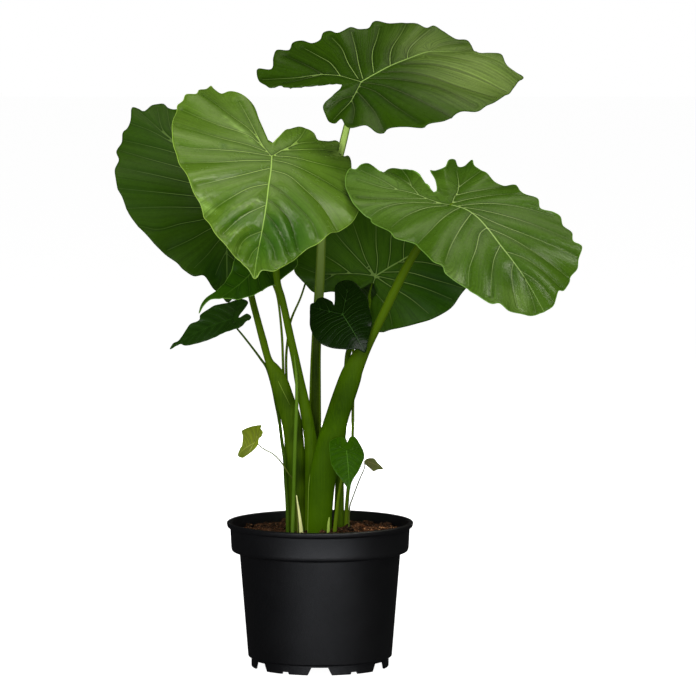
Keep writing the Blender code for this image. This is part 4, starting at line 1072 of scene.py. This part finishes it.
def makeTube(name, rows, mat, end=None, sides=20, margin=(), shades=()):
    points, faces, gone, aside = tubeMesh(rows, end, sides)
    onMargin = np.zeros(len(points))
    if margin:
        # the free margin of a sheath is a thin raised line
        ridge, ridgeFaces, _, _ = tubeMesh(margin, sides=8, cuts=8)
        faces += [tuple(i + len(points) for i in face) for face in ridgeFaces]
        points = np.vstack([points, ridge])
        gone, aside, onMargin = (
            np.append(values, np.full(len(ridge), added))
            for values, added in ((gone, 0.0), (aside, 0.0), (onMargin, 0.5))
        )
    shade = np.zeros(len(points))
    for x, up, radius, amount in shades:
        shade += amount * np.exp(-((points[:, 0] - x) ** 2 + (points[:, 2] - up) ** 2) / radius ** 2)
    tube = makeObject(name, points, faces, mat)
    giveValues(tube, gone=gone, aside=aside, margin=onMargin, shade=1 + np.clip(shade, -0.9, 1))
    return tube


# each row: across, up, depth, half width and, where the stalk isn't round, half thickness
stalkRows = {
    "top": [
        (-5, 150, 20, 7.5, 6.0), (-5, 200, 20, 7.7, 6.0), (-6, 290, 20, 8.0, 6.0),
        (-6, 360, 19, 7.4, 5.8), (-4.6, 420, 20, 6.3, 5.6), (0, 500, 22, 6.2, 5.4),
        (3, 560, 28, 5.6, 5.2), (12, 610, 48, 5.2, 5.0), (26, 660, 84, 5.0, 4.8),
        (36, 700, 89, 4.6, 4.4), (45, 730, 77, 4.2, 4.0),
    ],
    "front": [
        (-8, 150, 0, 11.6, 5.4), (-8, 200, 0, 11.6, 5.4), (-8, 242, 0, 11.4, 5.4),
        (-9, 267, 0, 10.4, 5.4), (-12, 293, 0, 8.4, 5.4), (-16, 319, 0, 7.6, 5.4),
        (-21, 344, 1, 7.0, 5.2), (-26.5, 370, 2, 6.3, 5.0), (-31.5, 396, 2, 5.4, 4.8),
        (-37, 421, 0, 5.0, 4.6), (-48, 472, -8, 4.4), (-55, 499, -14, 4.4),
        (-60, 560, -16, 4.6, 4.4), (-62, 610, -16, 4.4, 4.2),
    ],
    "right": [
        (-1, 150, -16, 15.6, 7.0), (0, 200, -16, 16.0, 7.0), (3, 242, -17, 17.3, 7.0),
        (9, 267, -17, 18.6, 7.0), (15, 293, -15, 17.7, 7.0), (21, 319, -11, 15.0, 6.8),
        (29, 344, -7, 14.7, 6.6), (38, 370, -4, 14.1, 6.4), (43, 384, -3, 12.6, 6.2),
        (51, 400, -3, 10.4, 6.0), (60, 415, -4, 7.6, 6.0), (71, 434, -6, 5.8),
        (84, 460, -8, 5.8, 5.6), (96, 485, -10, 5.8, 5.4), (118, 527, -10, 5.4, 5.2),
        (150, 576, -18, 4.6),
    ],
    "left_back": [
        (-31, 150, 8, 12.2, 5.6), (-31, 216, 8, 12.4, 5.6), (-31, 242, 8, 12.2, 5.6),
        (-31, 267, 8, 12.2, 5.6), (-33.2, 293, 8, 12.4, 5.6), (-36.7, 319, 8, 12.8, 5.6),
        (-45, 344, 8, 12.5, 5.6), (-53, 370, 8, 11.2, 5.4), (-59, 383, 9, 8.4, 5.2),
        (-66, 396, 11, 5.0, 4.8), (-73, 421, 20, 4.8, 4.6), (-80, 447, 34, 4.4),
        (-88, 478, 60, 4.3), (-104, 545, 98, 4.2), (-113, 590, 114, 4.0),
    ],
    "back": [
        (24, 150, 12, 6.4, 4.2), (24.5, 200, 12, 6.4, 4.2), (27, 290, 12, 4.4, 4.0),
        (34, 380, 14, 3.8), (37, 407, 18, 3.7), (47, 430, 30, 3.7), (57, 450, 44, 3.6),
        (62.5, 468, 56, 3.0), (64, 482, 67, 1.2),
    ],
    "left_middle": [
        (-41, 150, 24, 1.8), (-41, 200, 24, 1.8), (-44, 290, 23, 1.7), (-47, 382, 22, 1.7),
        (-49, 430, 24, 1.6), (-54, 474, 26, 1.4), (-61, 495, 28, 1.3), (-66, 512, 29, 1.3),
    ],
    "left_low": [
        (-41.5, 150, -3, 2.5), (-41.5, 203, -3, 2.5), (-44, 242, -2, 2.4), (-45.3, 267, -1, 2.3),
        (-49, 293, 6, 2.2), (-52.2, 319, 13, 2.1), (-56, 338, 17, 2.0), (-61, 362, 18, 1.8),
        (-68, 385, 18, 1.7), (-76, 397, 11, 1.6), (-84, 408, 3, 1.4), (-98, 426, -10, 1.3),
        (-107, 437, -15, 1.1),
    ],
    "centre": [
        (34, 150, 4, 2.7, 2.4), (34, 200, 4, 2.6, 2.4), (38, 250, 4, 2.2), (41.6, 290, 4, 2.0),
        (42.4, 340, 9, 1.8), (43.5, 392, 12, 1.7), (39, 430, 6, 1.6),
    ],
    "low_right": [
        (18.4, 150, -29, 2.7, 2.0), (19.4, 180, -30, 2.6, 2.0), (24, 220, -34, 1.9, 1.7),
        (30, 255, -40, 1.5),
    ],
    "small_left": [
        (-28, 150, -8, 1.2), (-29, 200, -9, 1.1), (-34, 239, -7, 1.0), (-41, 251, -12, 0.9),
        (-50, 265, -15, 0.9), (-60, 275, -17, 0.8), (-72, 281.5, -18, 0.8),
    ],
    "tiny_right": [
        (36, 150, -12, 1.1), (37, 180, -13, 1.0), (38, 206, -14, 0.9), (42, 219, -15, 0.8),
        (51, 243, -17, 0.8), (57, 257, -19, 0.7),
    ],
    "hidden": [
        (-35, 150, 26, 1.8), (-35, 200, 26, 1.8), (-38, 290, 28, 1.7), (-43.2, 382, 30, 1.7),
        (-41.5, 420, 40, 1.6), (-37, 447, 60, 1.5), (-25, 475, 90, 1.3), (-15, 503, 122, 1.2),
    ],
}
# green, light, the top's colour where it differs (the top stalk's pale top is partly painted light), and
# how fluted the stalk is
stalkTones = {
    "top": ((22, 38, 0), (84, 108, 22), (184, 216, 112), 0.8),
    "front": ((44, 70, 0), (68, 96, 6)),
    "right": ((38, 65, 0), (58, 88, 1), (68, 92, 8)),
    "left_back": ((42, 68, 0), (72, 98, 10)),
    "back": ((46, 72, 2), (70, 96, 12)),
    "left_low": ((30, 50, 2), (56, 80, 14)),
    "small_left": ((54, 66, 18), (88, 100, 36)),
    "tiny_right": ((46, 60, 16), (76, 90, 34)),
}
plainTone = ((54, 80, 2), (86, 110, 18))
sheathMargins = {
    "right": [
        (-0.8, 297, -16.3, 0.2), (-7.2, 274, -18.4, 0.5), (-11.6, 253, -18.9, 0.5),
        (-14.2, 234, -19.0, 0.5), (-15.0, 210, -18.2, 0.5), (-15.6, 172, -18.0, 0.5),
    ],
    "left_back": [
        (-57.5, 380, 4.6, 0.2), (-55, 372, 3.4, 0.5), (-47, 355, 2.3, 0.5), (-38.4, 338, 2.6, 0.2),
    ],
}
# shaded places on a stalk: across, up, radius and amount
stalkShades = {
    "right": [(16, 350, 24, -0.4)],
    "left_back": [(-36, 345, 14, -0.4), (-26, 300, 14, -0.55), (-20, 250, 16, -0.6),
                  (-19, 210, 14, -0.5)],
}
# these reach their blade at its notch
notchStalks = ("back", "hidden", "tiny_right", "small_left")
for stalkName, rows in stalkRows.items():
    stalkMat = stalkMaterial("stalkPaint_" + stalkName, *stalkTones.get(stalkName, plainTone))
    stalk = makeTube("stalk" + stalkName.title().replace("_", ""), rows, stalkMat, seatOf(stalkName),
                     margin=sheathMargins.get(stalkName, ()), shades=stalkShades.get(stalkName, ()))
    declare(stalk, "stalk", "stalk_" + stalkName)

spearRows = [
    (-36, 150, -12, 2.4), (-34, 210, -12, 2.4), (-32, 285, -11, 2.4), (-30, 330, -10, 2.3),
    (-30, 372, -9, 2.0), (-33, 402, -8, 0.5),
]
spear = makeTube("spearLeaf", spearRows, stalkMaterial("spearPaint", (62, 92, 12), (84, 114, 32)))
declare(spear, "stalk", "spear")

huskRows = {
    "husk_left": [(-22.5, 160, -13, 3.2, 1.4), (-25.5, 190, -13, 2.0, 1.2), (-30, 222, -13.5, 0.6, 0.5)],
    "husk_right": [(11, 160, -29, 2.2, 1.2), (11, 182, -29, 1.9, 1.1), (12, 194, -28.5, 0.5, 0.5)],
}
huskMats = {
    "husk_left": stalkMaterial("huskPaint", (176, 186, 96), (214, 218, 150), rough=0.6),
    "husk_right": stalkMaterial("shootPaint", (104, 140, 34), (150, 176, 80)),
}
for huskName, rows in huskRows.items():
    husk = makeTube(huskName + "Paper", rows, huskMats[huskName], sides=10)
    declare(husk, "husk", huskName)
print("stalks made")


# pot, in millimetres

pot = dict(
    rimRadius=120.0, lipHeight=7.0, height=187.0, collarRadius=115.5, collarBottom=151.0,
    bodyTop=103.5, bodyBottom=92.5, footRadius=88.5, footHeight=14.0, footWidth=3.0, wall=1.8,
    drainRadius=6.0, rounding=1.6, sides=144, creaseAngle=40.0,
    notches=6, notchTop=21.0, notchBottom=32.0, notchHeight=10.0, smallWidth=11.0, smallHeight=3.0,
)


def potInner(z):
    share = (z - pot["footHeight"]) / (pot["collarBottom"] - pot["footHeight"])
    return pot["bodyBottom"] - pot["wall"] + share * (pot["bodyTop"] - pot["bodyBottom"])


def makePotMaterial():
    mat, tree, shader = newMaterial("potPlastic", Specular_IOR_Level=1.0,
                                    Specular_Tint=(0.90, 0.93, 1.0, 1.0))
    place = placeNode(tree)
    fine = noiseNode(tree, place, 900.0, 2.0)
    cloud = noiseNode(tree, place, 14.0, 3.0)
    dust = times(tree, rangeNode(tree, cloud, 0.35, 0.75), 0.25)
    base = mixColour(tree, dust, linear(5, 5, 6), linear(10, 10, 11))
    tree.links.new(base, shader.inputs["Base Color"])
    tree.links.new(rangeNode(tree, cloud, 0.3, 0.7, 0.42, 0.50, "LINEAR"), shader.inputs["Roughness"])
    addBump(tree, shader, fine, 0.00015)
    return mat


def roundedProfile(corners, radius, cuts=3):
    # each corner is replaced by a short arc
    out = []
    count = len(corners)
    for i in range(count):
        before, at, after = (np.array(corners[j % count], float) for j in (i - 1, i, i + 1))
        toBefore, toAfter = before - at, after - at
        reach = min(radius, 0.4 * np.linalg.norm(toBefore), 0.4 * np.linalg.norm(toAfter))
        start = at + toBefore / np.linalg.norm(toBefore) * reach
        end = at + toAfter / np.linalg.norm(toAfter) * reach
        for t in np.arange(cuts + 1) / cuts:
            out.append(start * (1 - t) ** 2 + 2 * at * t * (1 - t) + end * t * t)
    return out


def makePot():
    rim, collar, wall = pot["rimRadius"], pot["collarRadius"], pot["wall"]
    height, lip, bottom = pot["height"], pot["lipHeight"], pot["collarBottom"]
    foot, floor, drain = pot["footRadius"], pot["footHeight"], pot["drainRadius"]
    inFoot = foot - pot["footWidth"]
    corners = [
        (drain, floor - wall), (inFoot, floor - wall), (inFoot, 0.0), (foot, 0.0),
        (foot, floor - 1.0), (pot["bodyBottom"], floor - 1.0), (pot["bodyTop"], bottom - 2.6),
        (collar - 2.4, bottom - 1.2), (collar - 1.4, bottom + 2.4), (collar, height - lip),
        (rim - 1.0, height - lip + 0.6), (rim, height - 1.2), (rim - 1.2, height),
        (collar - wall, height), (collar - wall - 2.4, bottom + 3.0),
        (potInner(bottom), bottom - 1.0), (potInner(floor) - 0.5, floor), (drain, floor),
    ]
    profile = roundedProfile(corners, pot["rounding"])
    count, sides = len(profile), pot["sides"]
    points, faces = [], []
    for k in range(sides):
        turn = 2 * math.pi * k / sides
        points += [(r * math.sin(turn), -r * math.cos(turn), z) for r, z in profile]
    for k in range(sides):
        ahead = (k + 1) % sides
        for i in range(count):
            j = (i + 1) % count
            faces.append((k * count + i, ahead * count + i, ahead * count + j, k * count + j))
    body = makeObject("nurseryPot", points, faces, makePotMaterial())
    cutter = makeNotchCutter()
    modifier = body.modifiers.new("notches", "BOOLEAN")
    modifier.operation, modifier.solver, modifier.object = "DIFFERENCE", "EXACT", cutter
    graph = bpy.context.evaluated_depsgraph_get()
    cutMesh = bpy.data.meshes.new_from_object(body.evaluated_get(graph))
    body.modifiers.clear()
    body.data = cutMesh
    bpy.data.objects.remove(cutter, do_unlink=True)
    cutMesh.polygons.foreach_set("use_smooth", [True] * len(cutMesh.polygons))
    sharp = body.modifiers.new("creases", "EDGE_SPLIT")
    sharp.split_angle = math.radians(pot["creaseAngle"])
    declare(body, "pot", "pot")


def makeNotchCutter():
    # large and small wedges in turn, across the foot ring
    points, faces = [], []
    for k in range(2 * pot["notches"]):
        turn = math.pi * k / pot["notches"]
        low, top, high = pot["notchBottom"] / 2, pot["notchTop"] / 2, pot["notchHeight"]
        if k % 2:
            low, top, high = pot["smallWidth"] / 2, pot["smallWidth"] * 0.8 / 2, pot["smallHeight"]
        first = len(points)
        for radius in (pot["footRadius"] - 10.0, pot["footRadius"] + 10.0):
            for half, z in ((-low, -1.0), (low, -1.0), (top, high), (-top, high)):
                points.append((radius * math.sin(turn) + half * math.cos(turn),
                               -radius * math.cos(turn) + half * math.sin(turn), z))
        quads = ((3, 2, 1, 0), (4, 5, 6, 7), (0, 1, 5, 4), (1, 2, 6, 5), (2, 3, 7, 6), (3, 0, 4, 7))
        faces += [tuple(first + i for i in quad) for quad in quads]
    cutter = makeObject("notchCutter", points, faces, None, smooth=False)
    shape = bmesh.new()
    shape.from_mesh(cutter.data)
    bmesh.ops.recalc_face_normals(shape, faces=shape.faces[:])
    shape.to_mesh(cutter.data)
    shape.free()
    return cutter


makePot()
print("pot made")


# soil, in millimetres

soil = dict(
    top=172.0, bottom=60.0, shoulder=150.0, brim=156.0, gap=1.2, rings=60, spokes=180, roughness=1.1,
    crumbs=1500, smallest=0.8, largest=4.0, seed=7,
    # a mound and a hollow: place, rise and spread
    mounds=((42, -8, 7.0, 900), (-52, -20, -5.0, 700)),
)


def soilHeight(x, y):
    height = soil["top"]
    for mx, my, rise, spread in soil["mounds"]:
        height += rise * math.exp(-((x - mx) ** 2 + (y - my) ** 2) / spread)
    lumps = 1.3 * math.sin(0.21 * x + 0.6) * math.cos(0.24 * y) + 0.9 * math.sin(0.37 * x - 0.31 * y)
    return height + lumps


def makeSoilMaterial():
    mat, tree, shader = newMaterial("coir", Roughness=0.95)
    place = placeNode(tree)
    grain = noiseNode(tree, place, 420.0, 4.0)
    clods = noiseNode(tree, place, 90.0, 3.0)
    base = mixColour(tree, rangeNode(tree, clods, 0.35, 0.7), linear(14, 8, 4), linear(104, 64, 36))
    base = mixColour(tree, rangeNode(tree, grain, 0.57, 0.70), base, linear(224, 166, 116))
    # painted shade: away from the mound at the right the soil is darker, standing in for the shade in the
    # hollow by the stalks and along the pot wall
    away = vectorNode(tree, "DISTANCE", place, (0.052, -0.01, 0.178))
    base = mixColour(tree, rangeNode(tree, away, 0.02, 0.055, 0.0, 0.7), base, linear(30, 18, 10))
    tree.links.new(base, shader.inputs["Base Color"])
    addBump(tree, shader, grain, 0.0012)
    return mat


def around(radius, turn):
    return radius * math.cos(turn), radius * math.sin(turn)


def makeSoil():
    draw = random.Random(soil["seed"])
    points, faces = [], []
    edge = pot["collarRadius"] - pot["wall"] - soil["gap"]
    spokes, rings = soil["spokes"], soil["rings"]
    turns = [2 * math.pi * k / spokes for k in range(spokes)]
    for z in (soil["bottom"], soil["shoulder"], soil["brim"]):
        radius = edge - 2.0 if z == soil["brim"] else potInner(z) - 1.0
        points += [(*around(radius, turn), z) for turn in turns]
    for ring in range(rings):
        for turn in turns:
            x, y = around(edge * (1 - ring / rings), turn)
            bump = draw.uniform(-soil["roughness"], soil["roughness"])
            points.append((x, y, soilHeight(x, y) + bump))
    last = len(points) - spokes
    points.append((0.0, 0.0, soilHeight(0.0, 0.0)))
    for ring in range(last // spokes):
        faces += bridge(ring, spokes)
    faces += [(last + k, last + (k + 1) % spokes, last + spokes) for k in range(spokes)]
    # crumbs of coir and bark lie on the surface
    for _ in range(soil["crumbs"]):
        radius = (edge - 4) * math.sqrt(draw.random())
        x, y = around(radius, draw.uniform(0, 2 * math.pi))
        size = draw.uniform(soil["smallest"], soil["largest"])
        z = soilHeight(x, y) + size * 0.35
        stretch = [draw.uniform(0.5, 1.6) for _ in range(3)]
        spin = draw.uniform(0, math.pi)
        first = len(points)
        for px, py, pz in ((1, 1, 1), (-1, -1, 1), (-1, 1, -1), (1, -1, -1), (0.2, 0.1, 1.5)):
            px, py = px * stretch[0] + draw.uniform(-0.3, 0.3), py * stretch[1]
            points.append((x + size * (px * math.cos(spin) - py * math.sin(spin)),
                           y + size * (px * math.sin(spin) + py * math.cos(spin)),
                           z + size * 0.6 * pz * stretch[2]))
        faces += [tuple(first + i for i in f) for f in
                  ((0, 4, 1), (0, 2, 4), (4, 2, 1), (0, 1, 3), (0, 3, 2), (1, 2, 3))]
    declare(makeObject("coirSoil", points, faces, makeSoilMaterial(), smooth=False), "soil", "soil")


makeSoil()
print("soil made")


# floor, light and camera

white = (1.0, 1.0, 1.0, 1.0)
floorHalf, floorDrop = 12.0, 0.0005
plantMiddle = Vector((0.0, 0.0, 0.45))


def glowWhenSeen(tree, socket, otherwise, seen):
    # bright only where the camera looks at it, not as a light on the plant
    ray = addNode(tree, "ShaderNodeLightPath").outputs["Is Camera Ray"]
    tree.links.new(rangeNode(tree, ray, 0.0, 1.0, otherwise, seen, "LINEAR"), socket)


def makeFloor():
    mesh = bpy.data.meshes.new("floor")
    corners = [(x * floorHalf, y * floorHalf, 0) for x, y in ((-1, -1), (1, -1), (1, 1), (-1, 1))]
    mesh.from_pydata(corners, [], [(0, 1, 2, 3)])
    mat, tree, shader = newMaterial("floorPaint", Roughness=0.9, Specular_IOR_Level=0.0,
                                    Base_Color=(0.30, 0.30, 0.30, 1.0), Emission_Color=white)
    glowWhenSeen(tree, shader.inputs["Emission Strength"], 0.0, 0.98)
    mesh.materials.append(mat)
    floor = addObject("floor", mesh)
    floor.location = (0, 0, -floorDrop)
    floor.visible_glossy = False


def makeLamp(name, place, size, power, glossy=True, high=None, tint=white[:3]):
    data = bpy.data.lights.new(name, "AREA")
    data.shape, data.size, data.energy = "RECTANGLE" if high else "DISK", size, power
    data.color = tint
    if high:
        data.size_y = high
    lamp = addObject(name, data)
    lamp.location = place
    lamp.visible_glossy = glossy
    lamp.rotation_euler = (plantMiddle - Vector(place)).to_track_quat("-Z", "Y").to_euler()


def makeWorld():
    world = bpy.data.worlds.new("studio")
    bpy.context.scene.world = world
    world.use_nodes = True
    background = world.node_tree.nodes["Background"]
    background.inputs["Color"].default_value = white
    glowWhenSeen(world.node_tree, background.inputs["Strength"], 0.02, 1.0)


def makeCamera():
    data = bpy.data.cameras.new("camera")
    data.lens, data.sensor_width, data.clip_end = lensLength, 36.0, 100.0
    camera = addObject("camera", data)
    camera.location = Vector(toFrame(eye))
    camera.rotation_euler = Vector(sightAhead).to_track_quat("-Z", "Y").to_euler()
    bpy.context.scene.camera = camera


makeFloor()
makeWorld()
# place and size in metres, power in watts
faintWarm, warm = (1.0, 0.97, 0.80), (1.0, 0.95, 0.70)
lamps = dict(
    key=dict(place=(-0.5, -2.5, 1.9), size=2.0, power=58, glossy=False),
    sky=dict(place=(0.4, -0.9, 2.6), size=1.5, power=27, glossy=False),
    overhead=dict(place=(0.5, 0.1, 2.6), size=0.9, power=5, tint=warm),
    far=dict(place=(1.05, 0.95, 2.6), size=1.2, power=4, tint=warm),
    right=dict(place=(1.75, -0.75, 2.4), size=0.6, power=14, tint=faintWarm),
    front=dict(place=(0.0, -2.2, 0.36), size=3.6, high=0.7, power=27),
    left=dict(place=(-2.3, -1.5, 1.5), size=1.1, power=8, glossy=False),
    backRight=dict(place=(1.7, 2.0, 1.5), size=1.4, power=10, glossy=False),
    backLeft=dict(place=(-1.9, 1.9, 1.3), size=1.4, power=8, glossy=False),
    back=dict(place=(0.1, 2.7, 0.7), size=1.4, power=70, glossy=False),
    sideLeft=dict(place=(-2.8, 0.3, 0.8), size=1.2, power=14, glossy=False),
    sideRight=dict(place=(2.8, 0.4, 0.8), size=1.2, power=12, glossy=False),
)
for lampName, lamp in lamps.items():
    makeLamp(lampName, **lamp)
makeCamera()
bpy.context.scene.view_settings.view_transform = "Standard"
print("stage made")
